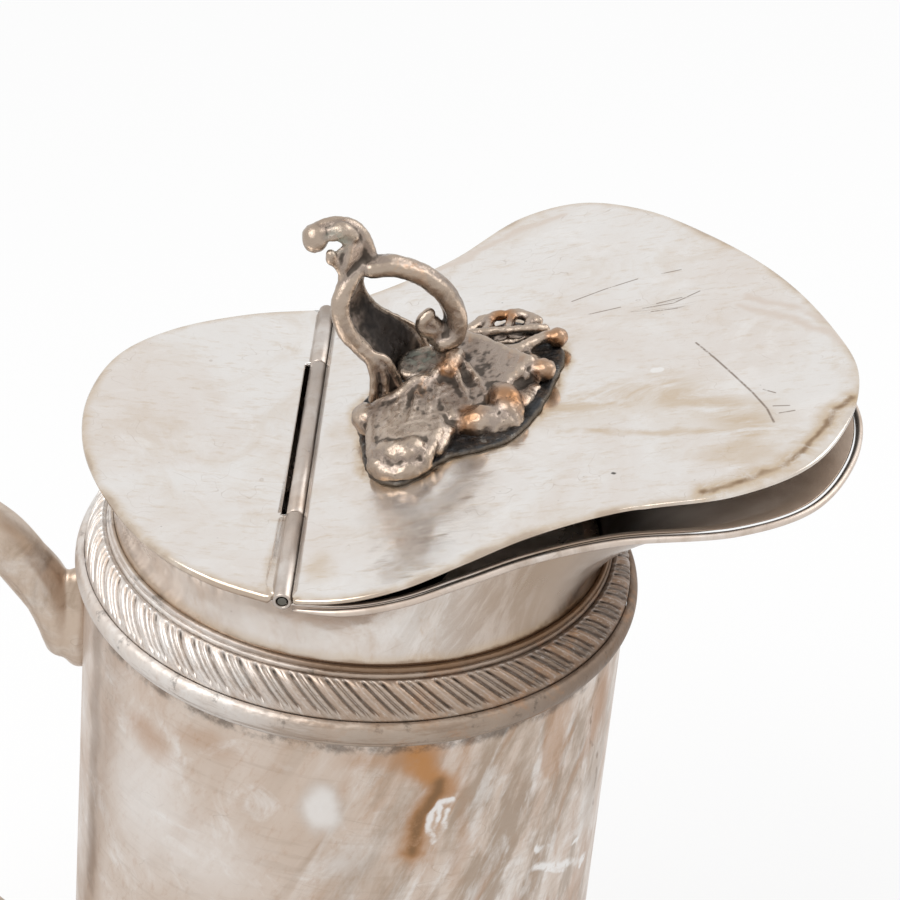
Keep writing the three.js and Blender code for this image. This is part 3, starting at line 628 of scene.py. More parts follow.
def body_material():
    """Pale and hazy on the handle's side, brown and streaked towards the lip, with runs, chalky marks and a
    painted reflection of the handle.
    """
    made = plate_shader("body_plate", WARM_SILVER, clouds=(BEIGE, 0.8), stains=(COPPER, 0.35), haze=0.6,
                        roughness=0.34, tilt=STREAK_TILT, stretch=(1, 1, 0.4))
    to_right = (made.axis("X") + made.noise(30, 4) * 0.03).ramp(-0.012, 0.04)
    to_right = to_right * made.axis("Y").ramp(0.0, -0.03, 0.3, 1.0)
    wiped = made.stretched((4, 4, 0.6), STREAK_TILT)
    made.tint(made.noise(27, 6, 0.62, 0.3, wiped).ramp(0.43, 0.6) * to_right, BRONZE, 0.8)
    made.tint(made.noise(38, 6, 0.66, 0.3, wiped).ramp(0.5, 0.66) * to_right, HAZE_AND_SHEEN, 0.5)
    made.tint(made.noise(20, 5, 0.6, 0.3, wiped).ramp(0.5, 0.64) * to_right, COPPER, 0.6)
    woven = made.noise(620, 3, 0.6, 0, made.stretched((0.12, 0.12, 1)))
    made.tint(woven.ramp(0.5, 0.72), BRONZE, 0.2)
    for centre, radii, colour, strength, soft in (
        ((-44, -47, 156), (24, 19, 30), HAZE_AND_SHEEN, 0.55, 0.95),
        ((-26, -58, 148), (24, 15, 22), HAZE_AND_SHEEN, 0.4, 0.95),
        ((-2.5, -64, 171.5), (6.6, 9, 9.4), BRONZE, 0.45, 0.5),
        ((-2.5, -64, 171.2), (6.4, 9, 9.2), HAZE_AND_SHEEN, 0.75, 0.7),
        ((-43, -47.5, 174), (12, 11, 7), COPPER, 0.55, 0.9),
        ((-30, -57, 181), (16, 12, 5), COPPER, 0.35, 0.9),
        ((59, -26, 178), (7, 9, 16), COPPER, 0.75, 0.8),
        ((60, -22, 150), (6, 9, 20), BRONZE, 0.6, 0.9),
        ((14, -63, 186), (20, 9, 5), COPPER, 0.6, 0.9),
        ((6, -64, 154), (12, 9, 14), BRONZE, 0.4, 0.95),
        ((19, -61, 187), (9, 9, 4), ORANGE, 0.6, 0.9),
        ((24, -59, 177), (5, 7, 6), ORANGE, 0.5, 0.8),
        ((29, -57, 160), (3, 8, 22), COPPER, 0.4, 0.9),
    ):
        made.tint(made.spot(centre, radii, soft), colour, strength)
    patchy = made.noise(120, 6, 0.7).ramp(0.24, 0.5)
    # Painted reflection of the handle: a patchy brown strip down the casing's side
    made.tint(made.streak(HANDLE_REFLECTION, 5, 0.8) * patchy, BROWN, 0.5)
    made.tint(made.streak(LIP_RUN, 0.9, 0.7), BROWN, 0.65)
    run = spline(ORANGE_RUN, 9)
    made.tint(made.streak(run, 7, 0.95), COPPER, 0.7)
    made.tint(made.streak(run, 4.2, 0.85) * patchy, ORANGE, 0.85)
    made.tint(made.streak(run[3:], 3.2, 0.9) * patchy, BROWN, 0.85)
    rubbed = made.noise(420, 4, 0.7, 0, made.stretched((0.5, 1, 1), 0.3)).ramp(0.3, 0.44)
    for points, width in CHALK_MARKS:
        made.tint(made.streak(points, width, 0.7) * rubbed, HAZE_AND_SHEEN, 0.9)
    height = made.axis("Z") + made.noise(230, 5, 0.7) * 0.005
    made.tint(height.ramp(0.1892, 0.1914) * made.noise(110, 6, 0.7).ramp(0.42, 0.6), GRIME_AND_SHADE, 0.6)
    return made.finish()


def sheet_shader():
    """The lid's and the rear plate's silver, yellow and brown along the edge."""
    made = plate_shader("lid_plate_silver", SILVER, clouds=(WARM_SILVER, 0.45), stains=(YELLOW, 0.2),
                        haze=0.5, roughness=0.15, tilt=math.pi / 2)
    edge = made.value("edge") + made.noise(90, 5, 0.6) * 6.0
    made.tint(edge.ramp(5.8, 2.8), YELLOW, 0.5)
    made.tint(edge.ramp(3.9, 2.6), BRONZE, 0.5)
    return made


def on_lid(points):
    return [(x, y, PLATE_TOP) for x, y in points]


def lid_material():
    """The lid's marks: scratches, brown drifts, the crease behind its nose and a stain round the solder, with
    painted shading of its dents and a painted highlight on the nose.
    """
    made = sheet_shader()
    # Painted highlight on the nose beyond the crease, where the sheet bends down
    made.tint(made.value("nose"), HAZE_AND_SHEEN, 0.45)
    patchy = made.noise(150, 6, 0.7, 0.5).ramp(0.28, 0.56)
    cloudy = made.noise(55, 7, 0.7, 1.5, made.stretched((0.6, 1.4, 1))).ramp(0.36, 0.6)
    for line, width, soft, uneven, colour, strength in (
        (CREASE, 5, 0.95, patchy, YELLOW, 0.8),
        (CREASE, 1.5, 0.9, patchy, BROWN, 0.8),
        (TAN_CLOUD, 8, 0.9, cloudy, YELLOW, 0.45),
        (TAN_CLOUD, 17, 0.9, cloudy, YELLOW, 0.28),
        (TAN_LINE, 1.8, 0.9, cloudy, YELLOW, 0.5),
    ):
        made.tint(made.streak(on_lid(line), width, soft) * uneven, colour, strength)
    # Painted shading of the dents, in a darker warm silver
    for line in DENT_SHADING:
        made.tint(made.streak(on_lid(line), 2.0, 0.9), WARM_SILVER, 0.8)
    halo = made.value("solder") + made.noise(130, 5, 0.65) * 5.0
    made.tint(halo.ramp(5.6, 2.0), YELLOW, 0.75)
    made.tint(halo.ramp(3.4, 2.0), BROWN, 0.7)
    made.tint(made.spot((97, -26, 0), (12, 7, 9)), YELLOW, 0.35)
    made.tint(made.spot((7, -52, 0), (5, 9, 9), 0.9), YELLOW, 0.4)
    made.tint(made.scratch(on_lid([(70, -28.4), (70.3, -28.6)]), 0.6), GRIME_AND_SHADE, 0.9)
    made.tint(made.scratch(on_lid([(80.4, 12.4), (81.6, 12.4)]), 1.3, 0.4), HAZE_AND_SHEEN, 0.9)
    broken = made.noise(330, 4, 0.75).ramp(0.3, 0.5)
    made.tint(made.scratch(on_lid(LONG_SCRATCH), 0.42, 0.9) * broken, DARK_BRONZE, 0.85)
    for line in SHORT_SCRATCHES:
        made.tint(made.scratch(on_lid(line), 0.36, 0.9) * broken, DARK_BRONZE, 0.75)
    hatching = made.hairlines(420, made.stretched((0.12, 1, 0)), 0.012)
    made.tint(hatching * made.streak(on_lid(SHORT_SCRATCHES[3]), 4, 0.6), DARK_BRONZE, 0.6)
    return made.finish()


def collar_shader(name, in_front, below_lip):
    """Bright on the handle's side, bronze in front and dark brown below the lip, partly tarnish and partly
    painted shade from the spout above.
    """
    made = plate_shader(name, SILVER, clouds=(WARM_SILVER, 0.6), stains=(BEIGE, 0.5), haze=0.6, roughness=0.4)
    side = made.axis("X")
    made.tint((side + made.noise(60, 4) * 0.02).ramp(-0.035, 0.022), BRONZE, in_front)
    # Dark brown below the lip: partly tarnish, partly painted shade from the spout above
    made.tint((side + made.noise(90, 5) * 0.03).ramp(0.03, 0.075), DARK_BRONZE, below_lip)
    made.tint(made.noise(130, 5, 0.7, 0.6).ramp(0.5, 0.64) * side.ramp(-0.02, 0.03), COPPER, 0.4)
    return made


def bead_material():
    made = collar_shader("bead_silver", 0.85, 0.75)
    bands = made.noise(300, 5, 0.7, 0, made.stretched((0.12, 0.12, 1)))
    made.tint(bands.ramp(0.5, 0.64), BROWN, 0.35)
    made.tint(made.noise(200, 5, 0.7).ramp(0.56, 0.68), GRIME_AND_SHADE, 0.45)
    made.rough = made.rough + 0.1
    made.normal = made.bump(made.noise(85, 4), 0.5, 0.003, made.normal)
    upper_reed = (made.axis("Z") + made.noise(150, 4) * 0.0006).ramp(0.2053, 0.2058)
    made.tint(upper_reed * made.axis("X").ramp(-0.04, 0.0), BROWN, 0.75)
    return made.finish()


def flute_material():
    """Streaked along the flutes, with dirt in the grooves, painted shade deepening them under their upper
    ends and along the top, and pale groove edges of burnished wear and painted highlight.
    """
    made = collar_shader("flute_silver", 0.85, 1.0)
    along = made.add("ShaderNodeCombineXYZ", {0: made.value("lane"), 1: made.value("run")})
    made.tint(made.value("broad") * made.axis("X").ramp(-0.045, 0.01), COPPER, 0.22)
    made.tint(made.noise(3.2, 4, 0.7, 0.3, along).ramp(0.5, 0.66), BRONZE, 0.5)
    made.tint(made.noise(9, 5, 0.7, 0.2, along).ramp(0.5, 0.7), DARK_BRONZE, 0.5)
    made.tint(made.noise(6, 5, 0.7, 0.2, along).ramp(0.54, 0.7), HAZE_AND_SHEEN, 0.4)
    groove = made.value("groove") + (made.noise(300, 5, 0.7) - 0.5) * 0.5
    # Pale groove edges: partly burnished wear, partly painted highlight
    made.tint(groove.ramp(0.0, 0.25), HAZE_AND_SHEEN, 0.15)
    # Dark grooves: dirt, with painted shade where the groove mark grows under the upper ends and at the top
    made.tint(groove.ramp(0.3, 0.9), GRIME_AND_SHADE, 0.8)
    return made.finish()


def neck_material():
    """Bright and hazy outside, with brown runs and painted shade towards the spout side, and dark brown
    inside with painted pale reflections, painted shade deeper down and painted light towards the tip.
    """
    made = plate_shader("neck_silver", SILVER, clouds=(WARM_SILVER, 1.0), stains=(BEIGE, 0.8), haze=0.3,
                        roughness=0.17, tilt=0.2, stretch=(1, 1, 0.5))
    side = made.axis("X")
    made.tint(made.noise(25, 4).ramp(0.25, 0.6), BEIGE, 0.3)
    # Bronze and dark bronze towards the spout side: painted shade, the lip's dark underside reflected
    made.tint(side.ramp(0.012, 0.05), BRONZE, 0.95)
    made.tint(side.ramp(0.032, 0.06), DARK_BRONZE, 0.45)
    runs = made.noise(70, 7, 0.68, 0.6, made.stretched((1.6, 1.6, 0.3), -0.35))
    made.tint(runs.ramp(0.44, 0.6) * side.ramp(-0.005, 0.045), BRONZE, 0.85)
    root = made.axis("Z") + made.noise(150, 4) * 0.003
    made.tint(root.ramp(0.2120, 0.2088), YELLOW, 0.4)
    made.tint(root.ramp(0.2096, 0.2084) * side.ramp(-0.04, 0.0), BROWN, 0.6)
    # Painted shade: a small dark spot in the corner under the near hinge barrel's end
    made.tint(made.spot((-19, -58, 222), (1.4, 3, 0.9), 0.3), GRIME_AND_SHADE, 0.95)
    inner = made.value("inside")
    made.tint(inner, BRONZE, 0.8)
    made.tint(inner * made.noise(60, 5, 0.6).ramp(0.42, 0.6), BROWN, 0.6)
    # Pale streaks inside: painted reflections
    pale_reflections = made.noise(28, 3, 0.5, 0.6, made.stretched((1.6, 0.5, 1.6), 0.5))
    made.tint(inner * pale_reflections.ramp(0.56, 0.66), BEIGE, 0.7)
    # Darker deeper inside: painted shade under the lid
    made.tint(inner * made.axis("Z").ramp(0.239, 0.222), GRIME_AND_SHADE, 0.9)
    # Paler inside towards the tip of the lip: painted light beyond the lid's shade
    made.tint(inner * side.ramp(0.045, 0.075), BEIGE, 0.5)
    made.rough = made.rough + inner * 0.22
    made.metallic = inner.ramp(0.0, 1.0, 0.9, 0.5)
    return made.finish()


def rim_material():
    """Worn silver, darkened on the side that faces the lip: painted shade in the gap under the lid."""
    made = plain_plate("rim_silver", WARM_SILVER, 0.6, 0.42)
    # Painted shade on the side facing the lip, in the gap under the lid
    made.tint(made.value("inner").ramp(-0.25, 0.3), GRIME_AND_SHADE, 0.9)
    return made.finish()


def casting_material():
    """Bronze-brown with dark patina and painted shade in the hollows, painted shade inside the strap and
    under the lobes, and rubbed high places that also carry a painted highlight.
    """
    made = Shader("worn_casting", (0.35, 0.285, 0.24, 1), 0.92)
    made.tint(made.noise(90, 6, 0.66, 0.6).ramp(0.42, 0.66), (0.23, 0.175, 0.14, 1), 0.8)
    made.tint(made.noise(120, 5, 0.7, 0.8).ramp(0.56, 0.7), COPPER, 0.55)
    made.tint(made.spot(NEAR_LEAF, (13, 11, 10), 0.7), (0.62, 0.52, 0.43, 1), 0.65)
    speckle = made.noise(520, 5, 0.75)
    fine = made.value("fine_hollow") + (speckle - 0.5) * 0.2
    broad = made.value("broad_hollow") + (made.noise(200, 5, 0.7) - 0.5) * 0.8
    # Dark in the broad hollows: partly patina, partly painted shade
    made.tint(broad.ramp(0.35, 1.05), (0.06, 0.05, 0.045, 1), 0.85)
    made.tint(fine.ramp(0.03, 0.17), GRIME_AND_SHADE, 0.8)
    # Painted shade inside the strap, under the ring
    made.tint(made.spot(in_scroll([STRAP_MIDDLE])[0], (9, 6.6, 14), 0.4), (0.03, 0.028, 0.028, 1), 0.9)
    # Paler on raised places: partly rubbed wear, partly painted highlight
    made.tint(fine.ramp(-0.1, -0.3), (0.50, 0.40, 0.31, 1), 0.5)
    for centre, radius in LOBE_STAINS_AND_SHADE:
        made.tint(made.spot(centre, (1.15 * radius,) * 3, 0.7), (0.36, 0.16, 0.055, 1), 0.8)
        # Painted shade on each lobe's lower front side
        lower = (centre[0], centre[1] - 0.4 * radius, centre[2] - 0.5 * radius)
        made.tint(made.spot(lower, (0.9 * radius,) * 3, 0.8), (0.10, 0.05, 0.025, 1), 0.75)
    green = speckle.ramp(0.42, 0.58) * made.value("verdigris")
    made.tint(green, (0.34, 0.36, 0.31, 1), 0.8)
    pits = made.cells(560).ramp(0.16, 0.04) * made.noise(210, 3).ramp(0.5, 0.6)
    made.tint(pits, GRIME_AND_SHADE, 0.7)
    made.rough = fine.ramp(-0.1, 0.12, 0.22, 0.5) + green * 0.35
    made.normal = made.bump(made.noise(430, 6, 0.72) - (pits + green) * 0.5, 0.3, 0.0007)
    return made.finish()


def solder_material():
    """Dull blue-grey and brown, nearly black in its dips, with painted pale highlights and a brighter rim."""
    made = Shader("dark_solder", (0.045, 0.048, 0.052, 1), 0.9)
    made.tint(made.noise(120, 5, 0.66).ramp(0.45, 0.62), (0.09, 0.06, 0.04, 1), 0.8)
    made.tint(made.noise(260, 6, 0.7).ramp(0.42, 0.62), (0.018, 0.018, 0.018, 1), 0.9)
    # Pale grey patches: painted highlights
    made.tint(made.noise(420, 4, 0.66).ramp(0.58, 0.7), (0.32, 0.31, 0.29, 1), 0.6)
    made.tint((made.value("rim") + made.noise(200, 3)).ramp(1.2, 0.6), (0.14, 0.115, 0.09, 1), 0.7)
    made.rough = made.noise(160, 4).ramp(0.35, 0.7, 0.24, 0.55)
    made.normal = made.bump(made.noise(260, 6, 0.66), 0.8, 0.0016)
    return made.finish()


def simple_material(name, colour, metallic, roughness, grain=0.1):
    made = Shader(name, colour, metallic)
    made.tint(made.noise(GRAIN_SCALE / 6, 5, 0.6).ramp(0.35, 0.7), (*(0.7 * c for c in colour[:3]), 1))
    made.rough = made.noise(GRAIN_SCALE / 3, 4).ramp(0.3, 0.7, roughness * 0.85, roughness * 1.2)
    made.normal = made.bump(made.noise(GRAIN_SCALE, 4), grain, 0.0004)
    return made.finish()


# Casing, foot and collar

def build_body():
    outer = [(BODY_FOOT_RADIUS + (BODY_RADIUS - BODY_FOOT_RADIUS) * t, BODY_BOTTOM + (194 - BODY_BOTTOM) * t)
             for t in np.linspace(0, 1, 60)]
    profile = outer + [(62.4, BAND_Z), (60.5, 200.5), (59.3, 203.3), (53.3, 203.3), (53.3, 202.3),
                       (58.8, 202.3), (61.4, BAND_Z), (62.6, 193.0), (65.4, BODY_BOTTOM)]
    return dress(lathe("casing_skin", profile), "casing", body_material(), "body_shell")


def build_foot(material):
    moulding = BODY_FOOT_RADIUS + 1.8
    profile = [(54, 2.8), (62.3, 2.8), (62.3, 0), *roll(moulding, 0, 5.2, 1.8),
               *roll(moulding, 5.2, 8.6, 0.7), (67.5, 12), (66.7, 12), (66.7, 5.0), (54, 5.0)]
    return dress(lathe("foot_moulding", profile), "casing", material, "foot_ring")


def build_collar_bead(material):
    radius = BODY_RADIUS + GAP
    profile = [(radius, COLLAR_Z + 0.1), (radius + 0.45, COLLAR_Z + 0.1), (radius + 0.5, COLLAR_Z + 0.8),
               *roll(radius + 0.1, COLLAR_Z + 0.9, BAND_Z + 0.2, BEAD_DEPTH - 0.1), (radius, BAND_Z + 0.2)]
    return dress(lathe("collar_moulding", profile), "casing", material, "collar_bead")


def build_fluted_band(material):
    """Slanting flutes round the shoulder: a broad one, then two narrow ones, with grooves between them."""
    per_pair, rows = 32, 26
    columns = FLUTE_PAIRS * per_pair
    around = circle(columns)
    phase = (np.arange(columns) % per_pair) / per_pair
    swelling, groove = 0, 0
    for low, high, depth in ((0.0, 0.5, 1.0), (0.5, 0.75, 0.9), (0.75, 1.0, 0.55)):
        crown = abs(np.sin(math.pi * (phase - low) / (high - low))) ** 0.6
        swelling = swelling + np.where((phase >= low) & (phase < high), crown, 0)
        away = abs(phase - low)
        groove = groove + depth * np.exp(-(np.minimum(away, 1 - away) / 0.04) ** 2)
    line = np.exp(-((phase - 0.27) / 0.025) ** 2)
    rings, grooves, runs = [], [], []
    run = BODY_RADIUS + GAP - BAND_TOP_RADIUS
    for row in range(rows + 1):
        share = row / rows
        angle = math.radians(84) * share
        radius = BAND_TOP_RADIUS + run * math.cos(angle)
        height = BAND_Z + 0.1 + (BAND_HEIGHT - 0.3) * math.sin(angle)
        ends = min(1.0, max(0.0, 9 * share - 0.7), 8 * (1 - share))
        under = math.exp(-((share - 0.84) / 0.1) ** 2)
        relief = (0.7 * (swelling - 1) - (0.6 + 0.3 * under) * groove - 0.18 * line) * ends - 0.1
        slant = (FLUTE_SLANT / BODY_RADIUS) * (1 - share) ** 1.35
        out = radius + relief * (0.35 + 0.65 * math.cos(angle))
        lift = height + relief * 0.65 * math.sin(angle)
        rings.append(turned(out, around + slant, lift))
        # The groove mark grows under the flutes' upper ends and along the band's top: painted shade in the
        # deep gaps there, over the dirt
        top = 0.5 * max(0.0, 1 - 12 * (1 - share))
        grooves.append((groove * (0.75 + 0.4 * under) + 0.35 * line) * ends + top)
        runs.append(np.full(columns, 1.5 * share))
    for radius, height in ((BAND_TOP_RADIUS - 1.0, BAND_Z + BAND_HEIGHT - 1.0),
                           (BODY_RADIUS - 1.2, BAND_Z + 0.1)):
        rings.append(turned(radius, around, height))
        grooves.append(0 * around)
        runs.append(0 * around)
    piece = loft("fluted_collar", rings)
    attribute(piece, "groove", np.concatenate(grooves))
    attribute(piece, "broad", np.tile(np.where(phase < 0.5, 1.0, 0.0), len(rings)))
    attribute(piece, "run", np.concatenate(runs))
    attribute(piece, "lane", np.tile(2 * np.arange(columns) / per_pair, len(rings)))
    return dress(piece, "casing", material, "gadroon_band")


def build_neck_reeds(material):
    inner = NECK_RADIUS + GAP - 0.2
    middle, top = NECK_Z + NECK_REEDS[0], NECK_Z + sum(NECK_REEDS)
    profile = [(inner, NECK_Z), *roll(inner + 1.0, NECK_Z, middle, 0.5, 10),
               *roll(inner + 0.6, middle - 0.1, top, 0.4, 10), (inner, top)]
    return dress(lathe("neck_reeds", profile), "casing", material, "neck_bead")


# Neck, rim, plates and hinge

def full_outline(front_steps, rear_steps):
    front = spline(LID_OUTLINE, front_steps)
    rear = spline(REAR_OUTLINE, rear_steps)[1:-1]
    return np.vstack([front, rear])


def on_rim(points, lowering=0.0):
    """Puts outline points on the rim: level behind the hinge, climbing in front of it."""
    slope = np.where(points[:, 0] > 0, RIM_SLOPE, 0.0)
    lowering = np.broadcast_to(lowering, len(points))
    return np.stack([HINGE_X + points[:, 0] * np.cos(slope), points[:, 1],
                     RIM_Z + points[:, 0] * np.sin(slope) - lowering], axis=1)


def build_neck(material):
    rim = on_rim(inset(full_outline(300, 110), RIM_INSET), 0.15)
    reach = np.hypot(rim[:, 0], rim[:, 1])
    outward = rim[:, :2] / reach[:, None]
    base = NECK_Z + sum(NECK_REEDS)
    outer, inner = [], []
    for share in np.concatenate([[-1], np.linspace(0, 1, 31)]):
        rise = max(share, 0.0)
        radius = NECK_RADIUS + (reach - NECK_RADIUS) * rise**2
        height = np.where(share < 0, NECK_Z, base + (rim[:, 2] - base) * rise)
        steep = 2 * (reach - NECK_RADIUS) * rise
        slant = np.hypot(steep, rim[:, 2] - base)
        thick_r = NECK_WALL * (rim[:, 2] - base) / slant
        thick_z = NECK_WALL * steep / slant
        outer.append(np.column_stack([outward * radius[:, None], height]))
        lift = np.minimum(height + thick_z, rim[:, 2] if share > 0.97 else 1e9)
        inner.append(np.column_stack([outward * (radius - thick_r)[:, None], lift]))
    piece = loft("neck_and_lip", outer + inner[::-1])
    attribute(piece, "inside", np.repeat([0.0] * len(outer) + [1.0] * len(inner), len(rim)))
    return dress(piece, "casing", material, "neck_spout")


def build_rim_wire(material):
    outline = full_outline(300, 110)
    front = inset(outline, RIM_INSET - GAP - RIM_WIRE_RADIUS)
    front = front[outline[:, 0] > 1.5]
    path = on_rim(front, RIM_WIRE_RADIUS)
    size = RIM_WIRE_RADIUS * np.clip(0.35 + (path[:, 0] - path[:, 0].min()) / 16, 0, 1)
    sides = 14
    piece = swept("rim_wire_round", path, (0, 0, 1), size, size, sides)
    inward = np.repeat(inset(front, 1.0) - front, sides, axis=0)
    offset = coordinates(piece)[:, :2] - np.repeat(path[:, :2], sides, axis=0)
    attribute(piece, "inner", (offset * inward).sum(1) / RIM_WIRE_RADIUS)
    return dress(piece, "casing", material, "rim_wire")


def build_lid(material):
    """The sheet dips a little between the crease behind its nose and its edge."""
    outline = full_outline(420, 40)
    front = outline[outline[:, 0] >= BARREL_RADIUS + GAP]
    near, far = np.array([BARREL_RADIUS + GAP, -62.2]), np.array([BARREL_RADIUS + GAP, 62.6])
    back = far + (near - far) * np.linspace(0, 1, 80)[:-1, None]
    line = np.vstack([front, back])
    round_part = np.arange(len(line)) < len(front)
    profile = [(np.where(round_part, distance, 0.0), height) for distance, height in (
        (1.2, PLATE_TOP), (0.5, 0.77), (0.15, 0.6), (0.0, 0.35), (0.05, -0.1), (0.3, PLATE_BOTTOM))]
    piece = plate("lid_sheet", line, profile, PLATE_BOTTOM)
    points = coordinates(piece)
    crease = spline([(125.7, -2), *CREASE, (76, -42)], 90)
    to_crease = distance_to_line(points, crease)
    beyond = inside(points[:, :2], np.vstack([crease, [(76, -60), (140, -60), (140, -2)]]))
    nose = np.clip(to_crease / 3, 0, 1) * beyond
    attribute(piece, "edge", distance_to_line(points, front))
    attribute(piece, "nose", nose)
    attribute(piece, "solder", distance_to_line(points, spline(SOLDER_OUTLINE, 160, closed=True)))
    points[:, 2] -= 0.3 * nose + 0.12 * np.exp(-(to_crease / 0.7) ** 2)
    move_vertices(piece, points)
    piece.matrix_world = LID_FRAME
    return dress(piece, "lid", material, "lid_plate")


def build_rear_plate(material):
    """The edge rolls over and runs down onto the neck."""
    edge_x = -(BARREL_RADIUS + GAP)
    rear = spline(REAR_OUTLINE, 220)
    rear = rear[rear[:, 0] < edge_x]
    slot_x, joined_x = edge_x - HINGE_SLOT, edge_x + 0.9
    corners = [rear[-1], (joined_x, rear[-1][1] + 1),
               (joined_x, KNUCKLE_FROM - GAP), (slot_x, KNUCKLE_FROM - GAP),
               (slot_x, KNUCKLE_TO + GAP), (joined_x, KNUCKLE_TO + GAP), (joined_x, rear[0][1] - 1), rear[0]]
    straight = []
    for a, b in zip(np.array(corners), np.array(corners[1:])):
        steps = max(2, int(np.linalg.norm(b - a)))
        straight.append(a + (b - a) * np.linspace(0, 1, steps, endpoint=False)[:, None])
    line = np.vstack([rear, np.vstack(straight)[1:]])
    round_part = np.arange(len(line)) < len(rear)
    rolled = [(1.8, PLATE_TOP), (0.8, 0.74), (0.3, 0.5), (0.0, 0.1), (0.0, -0.4), (0.3, -1.0), (0.9, -1.7),
              (1.7, -2.3)]
    square = [PLATE_TOP] * 4 + [PLATE_BOTTOM] * 4
    profile = [(np.where(round_part, distance, 0.0), np.where(round_part, height, square_height))
               for (distance, height), square_height in zip(rolled, square)]
    piece = plate("rear_sheet", line, profile, PLATE_BOTTOM)
    points = coordinates(piece)
    to_corner = 0.4 + distance_to_line(points, HINGE_ENDS)
    attribute(piece, "edge", np.minimum(distance_to_line(points, rear), to_corner))
    move_vertices(piece, points + np.array([HINGE_X, 0, HINGE_Z]))
    return dress(piece, "casing", material, "rear_plate")


def barrel(name, low, high):
    """A rolled tube along the hinge axis with a softened end and an open bore."""
    soft = 0.25
    profile = [(BARREL_BORE, low + soft), (BARREL_BORE + soft, low), (BARREL_RADIUS - soft, low),
               (BARREL_RADIUS, low + soft), (BARREL_RADIUS, high - soft), (BARREL_RADIUS - soft, high),
               (BARREL_BORE + soft, high), (BARREL_BORE, high - soft)]
    return loft(name, [turned(radius, circle(40), y)[:, [0, 2, 1]] for radius, y in profile])


def build_barrels(material):
    for name, low, high, node in (
        ("barrel_far", KNUCKLE_TO + GAP, BARREL_HALF_LENGTH, "hinge_knuckle_far"),
        ("barrel_near", -BARREL_HALF_LENGTH, KNUCKLE_FROM - GAP, "hinge_knuckle_near"),
    ):
        piece = barrel(name, low, high)
        move_vertices(piece, coordinates(piece) + np.array([HINGE_X, 0, HINGE_Z]))
        dress(piece, "casing", material, node)
    piece = barrel("barrel_middle", KNUCKLE_FROM, KNUCKLE_TO)
    piece.matrix_world = LID_FRAME
    dress(piece, "lid", material, "lid_knuckle")


# Thumbpiece

def in_scroll(points):
    """From the scroll's own directions (forward in its plane, across it, up) to the lid's."""
    points = np.array(points, float)
    along, across, up = points.T
    cosine, sine = math.cos(SCROLL_TURN), math.sin(SCROLL_TURN)
    return np.column_stack([SCROLL_FOOT[0] + along * cosine - across * sine,
                            SCROLL_FOOT[1] + along * sine + across * cosine, up + PLATE_TOP])


def dress_casting(piece, material, node, patches):
    """Marks the hollows, and patches given as x, y, z and radius, and puts the piece on the lid."""
    points = coordinates(piece)
    green = np.zeros(len(points))
    for *centre, radius in patches:
        away = np.linalg.norm(points - centre, axis=1) / radius
        green = np.maximum(green, np.clip(1.6 - 1.6 * away, 0, 1))
    attribute(piece, "verdigris", green)
    attribute(piece, "fine_hollow", hollows(piece, 24))
    attribute(piece, "broad_hollow", hollows(piece, 140))
    piece.matrix_world = LID_FRAME
    return dress(piece, "lid", material, node)


def shifted(points, x, y, z):
    return [(px + x, py + y, pz + z) for px, py, pz in points]


